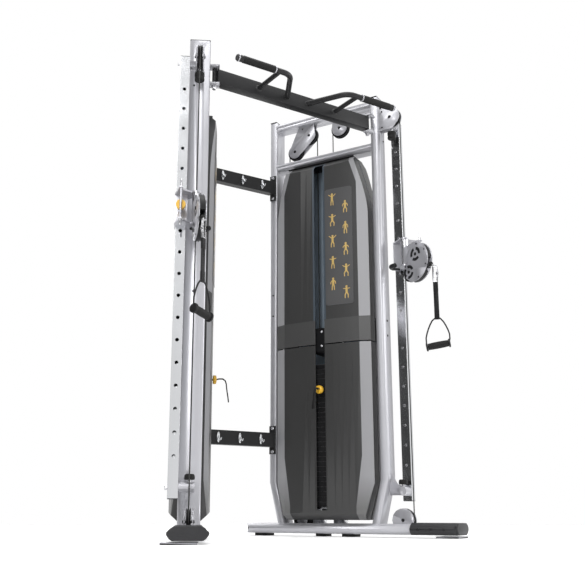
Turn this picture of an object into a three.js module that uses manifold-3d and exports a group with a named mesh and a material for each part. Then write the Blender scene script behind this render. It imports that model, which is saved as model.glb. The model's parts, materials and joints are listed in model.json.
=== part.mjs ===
// Functional trainer: two weight-stack towers set in a V and joined at the back and at the top.
//
// Units are millimetres. Machine frame: +X right, +Y to the rear, +Z up, the user stands at -Y.
// Each tower is drawn once, in its own frame: x runs forward along the base tube, y points away
// from the user's side (outward) and z is up. The left tower is the mirror image of the right one.

import * as THREE from 'three';
import { mergeVertices } from 'three/addons/utils/BufferGeometryUtils.js';
import Module from 'manifold-3d';

const wasm = await Module();
wasm.setup();
const { Manifold, Mesh } = wasm;

// ---- driving dimensions -------------------------------------------------------------------

const gap = 0.4; // air left between two pieces that touch on the real machine
const towerTurn = THREE.MathUtils.degToRad(27); // how far each tower opens outward from straight ahead
const towerOffset = 176; // from the middle of the machine to the rear end of a base tube
// Machine-frame y of the middle of the overall depth, counted from where the tower axes start.
const depthCentre = -569.35;

const base = { rear: 25, front: 1205, halfWidth: 76, flat: 46, bottom: 14, top: 65, wall: 4 };
const post = { depth: 42, width: 100, wall: 3, top: 2361, bendHeight: 275, footShift: 50, corner: 6 };
const frontPostFace = 852;
const rearPostFace = 168;
const rail = { halfWidth: 48, halfHeight: 22, wall: 3, upper: 2326, lower: 2074 };
const plateSteel = 5; // thickness of the pulley brackets
const cheek = 15; // from the cable plane to the near face of a pulley bracket

const column = { back: 891, front: 938, inner: 46.5, outer: 91, bottom: 177, top: 2220, wall: 3 };
const hole = { radius: 8.5, first: 2050, pitch: 100, count: 18 };
const carriageHeight = 1450; // the hole that the carriage is locked to
const columnMiddle = (column.inner + column.outer) / 2;

const cableRadius = 3;
const axle = 6;
const swivelLine = 965; // forward position of the vertical cable run and of the arm's swivel axis
const sheave = { width: 20, rim: 5, floor: 3.6, hub: 6.6, segments: 18 };
const pulleys = {
  head_pulley: { at: [913, 2235], pitch: 52 },
  rail_pulley_front: { at: [605, 2243], pitch: 50 },
  rail_pulley_rear_upper: { at: [410, 2243], pitch: 45 },
  rail_pulley_rear_lower: { at: [316.7, 2161], pitch: 45 },
  base_rear_pulley: { at: [350, 82], pitch: 52 },
  base_pulley: { at: [913, 82], pitch: 52 },
};

const cover = { middle: 505, halfWidth: 281, strip: 56, bottom: 82, top: 2036, seam: 8, wall: 5 };
const coverDepth = { edge: 60, strip: 82, crown: 95, lip: 50 };
const coverSplit = 985;
const slot = { width: 56, bottom: 130, top: 2012 };

const stack = { plate: 25.4, groove: 1.6, halfWidth: 125, front: -65, back: 45, top: 883.5 };
const platesLifted = 5; // plates held by the pin, below the top plate
const platesResting = 23;
const guideRod = { spread: 95, radius: 11, top: 2051 };
const selectorRod = 12.5;
const pinRadius = 5;
const block = { halfWidth: 55, front: -75, back: 45, bottom: 946, top: 1078, plate: 6 };
const floating = { height: 1030, pitch: 50 };

const armPulleys = { upper: [99, -37], lower: [45, -122] };
const armDisc = { centre: [85, -75], radius: 105 };
const barrel = { radius: 20, half: 68, bore: 6 };

const beamHeight = 75;
const beams = {
  pullup_beam: { front: -771, depth: 50, centre: 2193.5, plate: 95, post: frontPostFace - post.depth / 2 },
  upper_crossbar: { front: -207, depth: 40, centre: 1946, plate: 150, post: rearPostFace + post.depth / 2 },
  lower_crossbar: { front: -207, depth: 40, centre: 498, plate: 150, post: rearPostFace + post.depth / 2 },
};
const pullup = { radius: 14, grip: 16.5, root: 65, bend: 175, reach: -970, end: 478, brace: 236 };

// ---- materials ----------------------------------------------------------------------------

function paint(colour, roughness, metalness) {
  return new THREE.MeshStandardMaterial({ color: colour, roughness, metalness });
}

const look = {
  silver: paint(0xbfc0c4, 0.42, 0.55),
  charcoal: paint(0x3b3b3e, 0.5, 0.1),
  black: paint(0x1d1d1f, 0.5, 0.3),
  chrome: paint(0xd8dade, 0.12, 1),
  nylon: paint(0x19191b, 0.45, 0),
  rubber: paint(0x151516, 0.85, 0),
  iron: paint(0x121214, 0.6, 0.4),
  yellow: paint(0xe6b52e, 0.45, 0),
  webbing: paint(0x161617, 0.9, 0),
};

// ---- solids from three.js geometry --------------------------------------------------------

function solid(geometry) {
  const bare = new THREE.BufferGeometry();
  bare.setAttribute('position', geometry.getAttribute('position'));
  if (geometry.index) bare.setIndex(geometry.index);
  const welded = mergeVertices(bare, 1e-3);
  const corners = [];
  for (let i = 0; i < welded.index.count; i += 3) {
    const [a, b, c] = [0, 1, 2].map((k) => welded.index.getX(i + k));
    if (a !== b && b !== c && c !== a) corners.push(a, b, c);
  }
  return new Manifold(new Mesh({
    numProp: 3,
    vertProperties: new Float32Array(welded.getAttribute('position').array),
    triVerts: new Uint32Array(corners),
  }));
}

function geometryOf(body) {
  const mesh = body.getMesh();
  const geometry = new THREE.BufferGeometry();
  const corners = new Float32Array(mesh.vertProperties);
  geometry.setAttribute('position', new THREE.BufferAttribute(corners, 3));
  geometry.setIndex(new THREE.BufferAttribute(new Uint32Array(mesh.triVerts), 1));
  return geometry;
}

function join(...bodies) {
  return bodies.reduce((whole, body) => whole.add(body));
}

function cut(body, ...tools) {
  return tools.reduce((rest, tool) => rest.subtract(tool), body);
}

function box(x0, x1, y0, y1, z0, z1) {
  const geometry = new THREE.BoxGeometry(x1 - x0, y1 - y0, z1 - z0);
  return solid(geometry.translate((x0 + x1) / 2, (y0 + y1) / 2, (z0 + z1) / 2));
}

function bar(from, to, radius, segments = 12) {
  const start = new THREE.Vector3(...from);
  const run = new THREE.Vector3(...to).sub(start);
  const geometry = new THREE.CylinderGeometry(radius, radius, run.length(), segments);
  const upright = new THREE.Vector3(0, 1, 0);
  const turn = new THREE.Quaternion().setFromUnitVectors(upright, run.clone().normalize());
  geometry.applyQuaternion(turn);
  return solid(geometry.translate(...start.addScaledVector(run, 0.5).toArray()));
}

function ball(centre, radius) {
  return solid(new THREE.SphereGeometry(radius, 10, 7).translate(...centre));
}

function outline(points) {
  return new THREE.Shape(points.map(([x, y]) => new THREE.Vector2(x, y)));
}

// An x-z outline made thick along y.
function slab(shape, y0, y1, corner = 0, curveSegments = 7) {
  const geometry = new THREE.ExtrudeGeometry(shape, {
    depth: y1 - y0 - 2 * corner,
    bevelEnabled: corner > 0,
    bevelThickness: corner,
    bevelSize: corner,
    bevelOffset: -corner,
    bevelSegments: 1,
    curveSegments,
  });
  return solid(geometry.rotateX(Math.PI / 2).translate(0, y1 - corner, 0));
}

// A y-z outline made long along x.
function beamAlong(shape, x0, x1, curveSegments = 5) {
  const geometry = new THREE.ExtrudeGeometry(shape, { depth: x1 - x0, bevelEnabled: false, curveSegments });
  const turn = new THREE.Matrix4().makeBasis(
    new THREE.Vector3(0, 1, 0),
    new THREE.Vector3(0, 0, 1),
    new THREE.Vector3(1, 0, 0),
  );
  return solid(geometry.applyMatrix4(turn).translate(x0, 0, 0));
}

// An x-y outline made tall along z.
function prism(shape, z0, z1) {
  const settings = { depth: z1 - z0, bevelEnabled: false, curveSegments: 6 };
  return solid(new THREE.ExtrudeGeometry(shape, settings).translate(0, 0, z0));
}

// ---- placing ------------------------------------------------------------------------------

const machine = new THREE.Group();
const toTower = new THREE.Matrix4().makeRotationZ(towerTurn - Math.PI / 2).setPosition(towerOffset, 0, 0);
const swivel = new THREE.Vector3(swivelLine, 0, 0).applyMatrix4(toTower);

// An arm points straight forward, or is swung outward by an angle.
function toArm(turn) {
  const matrix = new THREE.Matrix4().makeRotationZ(turn - Math.PI / 2);
  return matrix.setPosition(swivel.x, swivel.y, carriageHeight);
}

const armTurn = { right: 0, left: THREE.MathUtils.degToRad(18) };
const toMiddle = new THREE.Matrix4().makeTranslation(0, -depthCentre, 0);
const mirror = new THREE.Matrix4().makeScale(-1, 1, 1);

function mirrored(geometry) {
  const copy = geometry.clone().applyMatrix4(mirror);
  const index = copy.index.array;
  for (let i = 0; i < index.length; i += 3) [index[i + 1], index[i + 2]] = [index[i + 2], index[i + 1]];
  return copy;
}

function addMesh(name, geometry, material) {
  const faceted = geometry.clone().applyMatrix4(toMiddle).toNonIndexed();
  faceted.computeVertexNormals();
  const mesh = new THREE.Mesh(faceted, material);
  mesh.name = name;
  machine.add(mesh);
}

function addPair(name, body, frame, material) {
  const geometry = geometryOf(body).applyMatrix4(frame);
  addMesh(`${name}_right`, geometry, material);
  addMesh(`${name}_left`, mirrored(geometry), material);
}

function addArmPair(name, body, material) {
  const place = (turn) => geometryOf(body).applyMatrix4(toArm(turn));
  addMesh(`${name}_right`, place(armTurn.right), material);
  addMesh(`${name}_left`, mirrored(place(armTurn.left)), material);
}

// ---- tower frame --------------------------------------------------------------------------

function tubeSection(inset) {
  const half = base.flat - inset;
  const low = base.bottom + inset;
  const high = base.top - inset;
  const middle = (low + high) / 2;
  const bulge = half + 2 * (base.halfWidth - base.flat); // control point that puts the side at full width
  const shape = new THREE.Shape();
  shape.moveTo(-half, low);
  shape.lineTo(half, low);
  shape.quadraticCurveTo(bulge, middle, half, high);
  shape.lineTo(-half, high);
  shape.quadraticCurveTo(-bulge, middle, -half, low);
  return shape;
}

function baseTube(inset) {
  return beamAlong(tubeSection(inset), base.rear + inset, base.front - inset);
}

function roundedRear() {
  const { rear, front } = base;
  const turn = rear + 60;
  const side = base.halfWidth + 1;
  const plan = new THREE.Shape();
  plan.moveTo(front, -side);
  plan.lineTo(front, side);
  plan.lineTo(turn, side);
  plan.quadraticCurveTo(rear, side, rear, side - 60);
  plan.lineTo(rear, 60 - side);
  plan.quadraticCurveTo(rear, -side, turn, -side);
  return prism(plan, base.bottom - 1, base.top + 1);
}

// Side view of a post: straight, with the foot bent towards the middle of the tower by `shift`.
function postSide(rear, shift, inset, foot) {
  const front = rear + post.depth - inset;
  const back = rear + inset;
  const drop = (shift * (post.bendHeight - foot)) / (post.bendHeight - base.top);
  return outline([
    [back, post.top - inset],
    [back, post.bendHeight],
    [back + drop, foot],
    [front + drop, foot],
    [front, post.bendHeight],
    [front, post.top - inset],
  ]);
}

function postPair(inset, foot) {
  const half = post.width / 2 - inset;
  const corner = Math.max(post.corner - inset, 0);
  const front = postSide(frontPostFace - post.depth, -post.footShift, inset, foot);
  const rear = postSide(rearPostFace, post.footShift, inset, foot);
  return [front, rear].map((shape) => slab(shape, -half, half, corner));
}

// A flat-sided oval tube between the two posts.
function railBar(height, inset, reach) {
  const radius = rail.halfHeight - inset;
  const flat = rail.halfWidth - rail.halfHeight;
  const shape = new THREE.Shape();
  shape.absarc(flat, height, radius, -Math.PI / 2, Math.PI / 2, false);
  shape.absarc(-flat, height, radius, Math.PI / 2, (3 * Math.PI) / 2, false);
  return beamAlong(shape, rearPostFace + post.depth - reach, frontPostFace - post.depth + reach, 3);
}

// Two matching plates, one on each side of the cable plane.
function cheeks(shape) {
  return [
    slab(shape, cheek, cheek + plateSteel),
    slab(shape, -cheek - plateSteel, -cheek),
  ];
}

function axleAt([x, z], reach = cheek + plateSteel) {
  return bar([x, -reach, z], [x, reach, z], axle, 8);
}

function disc([x, z], radius) {
  const shape = new THREE.Shape();
  shape.absarc(x, z, radius, 0, 2 * Math.PI);
  return shape;
}

function headPlate() {
  const [x, z] = pulleys.head_pulley.at;
  const shape = new THREE.Shape();
  shape.moveTo(frontPostFace - 1, z - 71);
  shape.lineTo(x + 12, z - 71);
  shape.absarc(x, z, 56, -0.9, Math.PI / 2, false);
  shape.lineTo(frontPostFace - 1, z + 56);
  return shape;
}

// The slanted bracket that holds the two rear rail pulleys, hung from the upper rail.
function twinPlate() {
  const [x1, z1] = pulleys.rail_pulley_rear_upper.at;
  const [x0, z0] = pulleys.rail_pulley_rear_lower.at;
  const slope = Math.atan2(z1 - z0, x1 - x0);
  const radius = 40;
  const shape = new THREE.Shape();
  shape.absarc(x0, z0, radius, slope + Math.PI / 2, slope - Math.PI / 2, false);
  shape.absarc(x1, z1, radius, slope - Math.PI / 2, 0, false);
  shape.lineTo(x1 + radius - 12, rail.upper - 10);
  shape.lineTo(x1 - 62, rail.upper - 10);
  return shape;
}

function hangerPlate() {
  const [x, z] = pulleys.rail_pulley_front.at;
  const shape = new THREE.Shape();
  shape.absarc(x, z, 46, Math.PI, 2 * Math.PI, false);
  shape.lineTo(x + 40, rail.upper - 10);
  shape.lineTo(x - 40, rail.upper - 10);
  return shape;
}

// Where the guide column is bolted to the frame, and where each boss starts.
const clamps = [{ height: 222, start: -22 }, { height: 2188, start: cheek + 1 }];

function lowerGusset() {
  const low = clamps[0].height;
  return outline([
    [frontPostFace - 10, low - 20],
    [frontPostFace - 10, low + 86],
    [frontPostFace, low + 86],
    [column.back - 6, low + 34],
    [column.back + 24, low + 22],
    [column.back + 24, low - 20],
  ]);
}

function clampBosses() {
  const middle = (column.back + column.front) / 2;
  const near = column.inner - gap;
  return clamps.map(({ height, start }) => bar([middle, start, height], [middle, near, height], 22, 14));
}

// Where the pads under a base tube start and end.
const padSpans = [[73, 145], [440, 490], [589, 655]];

function rearFeet() {
  return padSpans.map(([x0, x1]) => box(x0, x1, -40, 40, 0, base.bottom + 2));
}

// Where the three inner cable runs pass down through the lower rail.
const cableDrops = [269.5, cover.middle - floating.pitch, cover.middle + floating.pitch];

function towerFrame() {
  const tubes = join(
    baseTube(0).intersect(roundedRear()),
    ...postPair(0, base.top - 8),
    railBar(rail.upper, 0, 2),
    railBar(rail.lower, 0, 2),
  );
  const hollows = [
    baseTube(base.wall),
    ...postPair(post.wall, base.top - 20),
    railBar(rail.upper, rail.wall, 12),
    railBar(rail.lower, rail.wall, 12),
  ];
  const cableWays = [
    box(frontPostFace - post.depth - 8, frontPostFace + 8, -13, 13, 2266, 2330),
    ...['base_pulley', 'base_rear_pulley'].map((name) => {
      const [x] = pulleys[name].at;
      return box(x - 62, x + 62, -cheek, cheek, base.top - 10, base.top + 10);
    }),
    ...cableDrops.map((x) => bar([x, 0, rail.lower - 30], [x, 0, rail.lower + 30], 8)),
  ];
  const pulleyCheeks = cheeks(disc(pulleys.base_pulley.at, 57)).map((plate) => plate.intersect(
    box(800, 1000, -40, 40, base.top - 12, 200),
  ));
  const rearCheeks = cheeks(disc(pulleys.base_rear_pulley.at, 30)).map((plate) => plate.intersect(
    box(300, 400, -40, 40, base.top - 3, 200),
  ));
  const brackets = [
    ...cheeks(headPlate()),
    ...cheeks(twinPlate()),
    ...cheeks(hangerPlate()),
    ...pulleyCheeks,
    ...rearCheeks,
    slab(lowerGusset(), -4, 4),
    ...clampBosses(),
    ...Object.values(pulleys).map(({ at }) => axleAt(at)),
    ...rearFeet(),
    ...beamPlates(),
  ];
  const railCavity = railBar(rail.upper, rail.wall, 12);
  return cut(join(cut(tubes, ...hollows), ...brackets), railCavity, ...cableWays);
}

function toeCover() {
  const [rear, front] = [969, 1198];
  const grown = -gap;
  const sleeve = beamAlong(tubeSection(grown - 5), rear, front);
  const below = box(rear - 1, front + 1, -90, 90, 0, base.bottom - gap);
  return cut(sleeve, beamAlong(tubeSection(grown), rear - 1, front + 1), below);
}

function footPlate() {
  const [rear, front] = [1080, 1200];
  const top = base.bottom - gap;
  return join(
    box(rear, front, -42, 110, 6, top - 5.5),
    box(rear + 5, front - 5, -37, 105, 0, 7),
  );
}

// ---- guide column, pulleys and cable ------------------------------------------------------

function guideColumn() {
  const wall = column.wall;
  const outside = box(column.back, column.front, column.inner, column.outer, column.bottom, column.top);
  const inside = box(
    column.back + wall, column.front - wall,
    column.inner + wall, column.outer - wall,
    column.bottom - 1, column.top + 1,
  );
  const { front } = column;
  const holes = [];
  for (let i = 0; i < hole.count; i += 1) {
    const z = hole.first - i * hole.pitch;
    holes.push(bar([front - 8, columnMiddle, z], [front + 8, columnMiddle, z], hole.radius, 10));
  }
  return cut(outside, inside, ...holes);
}

function sheaveAt([x, z], pitch, halfWidth = sheave.width / 2) {
  const rim = pitch + sheave.rim;
  const floor = pitch - sheave.floor;
  const profile = [
    [sheave.hub, -halfWidth], [rim, -halfWidth], [floor, -cableRadius],
    [floor, cableRadius], [rim, halfWidth], [sheave.hub, halfWidth], [sheave.hub, -halfWidth],
  ].map(([r, y]) => new THREE.Vector2(r, y));
  return solid(new THREE.LatheGeometry(profile, sheave.segments).translate(x, 0, z));
}

// Straight run that touches two circles on the sides given by their turning senses (+1 or -1).
function tangentRun(first, second) {
  const [x0, z0] = first.at;
  const [x1, z1] = second.at;
  const span = Math.hypot(x1 - x0, z1 - z0);
  const lean = Math.atan2(z1 - z0, x1 - x0);
  const offset = Math.asin((second.sense * second.pitch - first.sense * first.pitch) / span);
  const heading = lean + offset;
  const touch = ({ at, pitch, sense }) => [
    at[0] + sense * pitch * Math.sin(heading),
    at[1] - sense * pitch * Math.cos(heading),
  ];
  return [touch(first), touch(second)];
}

function wrapPoints({ at, pitch, sense }, from, to) {
  const start = Math.atan2(from[1] - at[1], from[0] - at[0]);
  let sweep = Math.atan2(to[1] - at[1], to[0] - at[0]) - start;
  if (sense > 0 && sweep < 0) sweep += 2 * Math.PI;
  if (sense < 0 && sweep > 0) sweep -= 2 * Math.PI;
  const steps = Math.max(3, Math.round(Math.abs(sweep) / 0.3));
  const points = [];
  for (let i = 0; i <= steps; i += 1) {
    const angle = start + (sweep * i) / steps;
    points.push([at[0] + pitch * Math.cos(angle), at[1] + pitch * Math.sin(angle)]);
  }
  return points;
}

// The cable's route in the cable plane, from the top of one fall round to the top of the other.
function cableRoute() {
  const order = [
    'rail_pulley_rear_upper', 'rail_pulley_rear_lower', 'base_rear_pulley',
    'base_pulley', 'head_pulley', 'rail_pulley_front',
  ].map((name) => ({ ...pulleys[name], sense: 1 }));
  const foot = (side) => {
    const x = cover.middle + side * floating.pitch;
    return { at: [x, floating.height], pitch: 0, sense: 1 };
  };
  const stops = [foot(-1), ...order, foot(1)];
  const runs = stops.slice(1).map((stop, i) => tangentRun(stops[i], stop));
  return order.flatMap((stop, i) => wrapPoints(stop, runs[i][1], runs[i + 1][0]));
}

// The fall of the cable: down from the rear rail pulleys, under the floating pulley and up again.
function cableFall() {
  const route = cableRoute();
  const top = (point) => [point[0], point[1] - 3 * gap];
  const turn = [];
  for (let i = 0; i <= 10; i += 1) {
    const angle = Math.PI * (1 + i / 10);
    turn.push([
      cover.middle + floating.pitch * Math.cos(angle),
      floating.height + floating.pitch * Math.sin(angle),
    ]);
  }
  return [top(route[0]), ...turn, top(route[route.length - 1])];
}

// A round cable through the points of the route, as rings joined by flat strips.
function cableSolid(points, radius, sides = 8) {
  const corners = [];
  points.forEach(([x, z], i) => {
    const [ax, az] = points[Math.max(i - 1, 0)];
    const [bx, bz] = points[Math.min(i + 1, points.length - 1)];
    const length = Math.hypot(bx - ax, bz - az);
    const side = [-(bz - az) / length, (bx - ax) / length];
    for (let k = 0; k < sides; k += 1) {
      const angle = (2 * Math.PI * k) / sides;
      const across = radius * Math.cos(angle);
      corners.push(x + side[0] * across, radius * Math.sin(angle), z + side[1] * across);
    }
  });
  const faces = [];
  const last = (points.length - 1) * sides;
  for (let i = 0; i < points.length - 1; i += 1) {
    for (let k = 0; k < sides; k += 1) {
      const [a, b] = [i * sides + k, i * sides + ((k + 1) % sides)];
      faces.push(a, a + sides, b, b, a + sides, b + sides);
    }
  }
  for (let k = 1; k < sides - 1; k += 1) faces.push(0, k, k + 1, last, last + k + 1, last + k);
  const geometry = new THREE.BufferGeometry();
  geometry.setAttribute('position', new THREE.Float32BufferAttribute(corners, 3));
  geometry.setIndex(faces);
  return solid(geometry);
}

// ---- covers -------------------------------------------------------------------------------

// Plan view of a cover: side walls, a sloping strip on each side and a crowned middle panel.
// `side` is -1 for the user's side and +1 for the outer side.
function coverPlan(side, inset) {
  const { middle, halfWidth } = cover;
  const half = halfWidth - inset;
  const inner = halfWidth - cover.strip;
  const edge = side * (coverDepth.edge - inset);
  const strip = side * (coverDepth.strip - inset);
  const crown = side * (coverDepth.crown - inset);
  const open = inset > 0 ? 0 : side * cover.seam;
  const shape = new THREE.Shape();
  shape.moveTo(middle - half, open);
  shape.lineTo(middle - half, edge);
  shape.lineTo(middle - inner, strip);
  shape.quadraticCurveTo(middle - inner / 2, crown, middle, crown);
  shape.quadraticCurveTo(middle + inner / 2, crown, middle + inner, strip);
  shape.lineTo(middle + half, edge);
  shape.lineTo(middle + half, open);
  return shape;
}

// Front view of a cover: it narrows with a soft curve at the top and with a bend at the foot.
function coverFace(inset, over) {
  const half = cover.halfWidth - inset;
  const left = cover.middle - half;
  const right = cover.middle + half;
  const narrowTop = 78;
  const narrowFoot = 52;
  const shape = new THREE.Shape();
  shape.moveTo(left + narrowFoot, cover.bottom - over);
  shape.lineTo(left, 262);
  shape.lineTo(left, 1690);
  shape.quadraticCurveTo(left, 1800, left + narrowTop, cover.top + over);
  shape.lineTo(right - narrowTop, cover.top + over);
  shape.quadraticCurveTo(right, 1800, right, 1690);
  shape.lineTo(right, 262);
  shape.lineTo(right - narrowFoot, cover.bottom - over);
  return shape;
}

// End view of a cover: its face leans back at the foot and at the top.
function coverEnd(side, inset, over) {
  const face = coverDepth.crown + 10 - inset;
  const lip = coverDepth.lip - inset;
  return outline([
    [0, cover.bottom - over],
    [side * lip, cover.bottom - over],
    [side * lip, cover.bottom],
    [side * (coverDepth.crown - inset), cover.bottom + 40],
    [side * face, cover.bottom + 60],
    [side * face, cover.top - 60],
    [side * (coverDepth.crown - inset), cover.top - 45],
    [side * lip, cover.top],
    [side * lip, cover.top + over],
    [0, cover.top + over],
  ]);
}

function coverBody(side, inset, over) {
  const reach = coverDepth.crown + 20;
  const face = slab(coverFace(inset, over), -reach, reach);
  const end = beamAlong(coverEnd(side, inset, over), 0, 1100);
  return prism(coverPlan(side, inset), cover.bottom - over, cover.top + over).intersect(face).intersect(end);
}

function coverShell(side) {
  return cut(coverBody(side, 0, 0), coverBody(side, cover.wall, 2));
}

function userCovers() {
  const half = slot.width / 2;
  const opening = box(
    cover.middle - half, cover.middle + half,
    -coverDepth.crown - 20, -coverDepth.edge, slot.bottom, slot.top,
  );
  const shell = cut(coverShell(-1), opening);
  const split = (low, high) => shell.intersect(box(0, 1100, -150, 0, low, high));
  return [split(coverSplit + 3, cover.top + 10), split(0, coverSplit - 3)];
}

// ---- weight stack -------------------------------------------------------------------------

function rodHoles(low, high, centreRadius) {
  const { middle } = cover;
  const holes = [-1, 1].map((side) => {
    const x = middle + side * guideRod.spread;
    return bar([x, 0, low], [x, 0, high], guideRod.radius + 1.5);
  });
  return [...holes, bar([middle, 0, low], [middle, 0, high], centreRadius)];
}

// A pile of plates with a shallow groove between neighbours.
function plates(count, top) {
  const { middle } = cover;
  const low = top - count * stack.plate;
  const core = box(
    middle - stack.halfWidth + 3, middle + stack.halfWidth - 3,
    stack.front + 3, stack.back - 3, low + 1, top - 1,
  );
  const pile = [];
  for (let i = 0; i < count; i += 1) {
    const z = low + i * stack.plate;
    pile.push(box(
      middle - stack.halfWidth, middle + stack.halfWidth,
      stack.front, stack.back, z + stack.groove / 2, z + stack.plate - stack.groove / 2,
    ));
  }
  return join(core, ...pile);
}

const liftedTop = stack.top - stack.plate - gap;
const restingTop = liftedTop - platesLifted * stack.plate - gap;
const restingBottom = restingTop - platesResting * stack.plate;
const pinHeight = liftedTop - (platesLifted - 0.5) * stack.plate;

function pinHole(extra) {
  const { middle } = cover;
  return bar([middle, -140, pinHeight], [middle, 20, pinHeight], pinRadius + extra, 14);
}

function restingPlates() {
  const pile = plates(platesResting, restingTop);
  return cut(pile, ...rodHoles(restingBottom - 5, restingTop + 5, selectorRod + 1.5));
}

function liftedPlates() {
  const pile = plates(platesLifted, liftedTop);
  return cut(pile, ...rodHoles(liftedTop - 200, liftedTop + 5, selectorRod + 0.5), pinHole(0.5));
}

function stackHead() {
  const { middle } = cover;
  const topPlate = cut(
    slab(outline([
      [middle - stack.halfWidth, stack.top - stack.plate],
      [middle + stack.halfWidth, stack.top - stack.plate],
      [middle + stack.halfWidth, stack.top - 9],
      [middle + stack.halfWidth - 12, stack.top],
      [middle - stack.halfWidth + 12, stack.top],
      [middle - stack.halfWidth, stack.top - 9],
    ]), stack.front, stack.back),
    ...rodHoles(stack.top - 60, stack.top + 5, 2).slice(0, 2),
  );
  const { plate, halfWidth, front, back, bottom, top } = block;
  const rod = cut(
    bar([middle, 0, restingBottom + 12], [middle, 0, bottom + 2], selectorRod),
    pinHole(0.5),
  );
  const sides = [
    box(middle - halfWidth, middle + halfWidth, front, front + plate, bottom, top),
    box(middle - halfWidth, middle + halfWidth, back - plate, back, bottom, top),
    box(middle - halfWidth, middle + halfWidth, front, back, bottom, bottom + plate),
  ];
  const spindle = bar([middle, front + 1, floating.height], [middle, back - 1, floating.height], axle);
  return join(topPlate, rod, ...sides, spindle);
}

function guideRods() {
  const { middle } = cover;
  const { halfWidth, front, back } = stack;
  const shelf = restingBottom - gap;
  const legs = [-1, 1].map((side) => {
    const x = middle + side * 60;
    return box(x - 20, x + 20, -42, 42, base.top + gap, shelf);
  });
  const rods = [-1, 1].map((side) => {
    const x = middle + side * guideRod.spread;
    return bar([x, 0, shelf - 4], [x, 0, guideRod.top], guideRod.radius);
  });
  const plate = box(middle - halfWidth, middle + halfWidth, front, back, shelf - 9, shelf);
  return join(plate, ...legs, ...rods);
}

function selectorPin() {
  const { middle } = cover;
  const knobFace = -coverDepth.crown - 3;
  return join(
    bar([middle, knobFace - 2, pinHeight], [middle, 8, pinHeight], pinRadius, 14),
    bar([middle, knobFace - 16, pinHeight], [middle, knobFace, pinHeight], 21, 20),
  );
}

// ---- carriage -----------------------------------------------------------------------------

const sleeve = { wall: 6, half: 76, flange: 8 };

function flangeShape() {
  const inner = column.inner - gap - sleeve.wall;
  const outer = column.outer + gap + sleeve.wall;
  const shape = new THREE.Shape();
  shape.moveTo(column.back - 6, outer);
  shape.lineTo(column.back - 6, inner);
  shape.lineTo(swivelLine - 16, -16);
  shape.absarc(swivelLine, 0, 22, -2.4, 1.2, false);
  shape.lineTo(1004, 60);
  shape.lineTo(1036, 62);
  shape.lineTo(1036, 77);
  shape.lineTo(990, 84);
  shape.lineTo(column.front + 6, outer);
  return shape;
}

function liftHandle() {
  const height = carriageHeight - sleeve.half - 5;
  const curve = new THREE.CatmullRomCurve3([
    new THREE.Vector3(922, 24, height),
    new THREE.Vector3(897, -14, height),
    new THREE.Vector3(903, -46, height),
    new THREE.Vector3(928, -56, height),
  ]);
  const round = new THREE.Shape();
  round.absarc(0, 0, 8.5, 0, 2 * Math.PI);
  return solid(new THREE.ExtrudeGeometry(round, { steps: 12, extrudePath: curve, curveSegments: 5 }));
}

function carriage() {
  const low = carriageHeight - sleeve.half;
  const high = carriageHeight + sleeve.half;
  const reach = gap + sleeve.wall;
  const outside = box(
    column.back - reach, column.front + reach,
    column.inner - reach, column.outer + reach, low, high,
  );
  const flanges = [low - 1, high - sleeve.flange + 1].map((z) => prism(flangeShape(), z, z + sleeve.flange));
  const boss = bar([column.front, columnMiddle, carriageHeight], [972, columnMiddle, carriageHeight], 13);
  const guard = bar([1026, columnMiddle, low - 25], [1026, columnMiddle, high + 36], 5, 12);
  const way = box(
    column.back - gap, column.front + gap,
    column.inner - gap, column.outer + gap, low - 20, high + 20,
  );
  const pinBore = bar(
    [column.front - 5, columnMiddle, carriageHeight], [980, columnMiddle, carriageHeight], 8,
  );
  const cableBore = bar([swivelLine, 0, low - 20], [swivelLine, 0, high + 20], barrel.bore);
  const underSleeve = box(column.back - 20, column.front, column.inner - 10, 120, low - 30, low - 1);
  const handle = cut(liftHandle(), underSleeve);
  return cut(join(outside, ...flanges, boss, guard, handle), way, pinBore, cableBore);
}

function popPin() {
  return join(
    bar([column.front + 0.6, columnMiddle, carriageHeight], [992, columnMiddle, carriageHeight], 7.5),
    bar([990, columnMiddle, carriageHeight], [1012, columnMiddle, carriageHeight], 22, 20),
  );
}

// ---- pulley arm, in its own frame: x forward from the swivel axis, z from the locking hole ---

const armCheek = 13;

function armPlate() {
  const [x, z] = armDisc.centre;
  const shape = new THREE.Shape();
  shape.moveTo(8, 18);
  shape.lineTo(8, -64);
  shape.lineTo(26, -64);
  shape.lineTo(26, -92);
  shape.lineTo(8, -92);
  shape.lineTo(8, -140);
  shape.absarc(x, z, armDisc.radius, -1.85, 1.85, false);
  return shape;
}

function roundWindows([x, z], radius, start) {
  const windows = [];
  for (let i = 0; i < 3; i += 1) {
    const middle = start + (i * 2 * Math.PI) / 3;
    const shape = new THREE.Shape();
    shape.absarc(x, z, radius + 6.5, middle - 0.72, middle + 0.72, false);
    shape.absarc(x, z, radius - 6.5, middle + 0.72, middle - 0.72, true);
    windows.push(slab(shape, -30, 30, 0, 3));
  }
  return windows;
}

function pulleyArm() {
  const windows = [
    ...roundWindows(armPulleys.upper, 29, 0.6),
    ...roundWindows(armPulleys.lower, 29, 1.1),
  ];
  const side = (y0, y1) => cut(slab(armPlate(), y0, y1), ...windows);
  const axles = Object.values(armPulleys).map((at) => axleAt(at, armCheek + 4));
  const tube = bar([0, 0, -barrel.half], [0, 0, barrel.half], barrel.radius, 16);
  const solids = join(tube, side(armCheek, armCheek + 4), side(-armCheek - 4, -armCheek), ...axles);
  return cut(solids, bar([0, 0, -80], [0, 0, 80], barrel.bore));
}

// ---- handle, hung from the ball stop at the arm's mouth -------------------------------------

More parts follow.
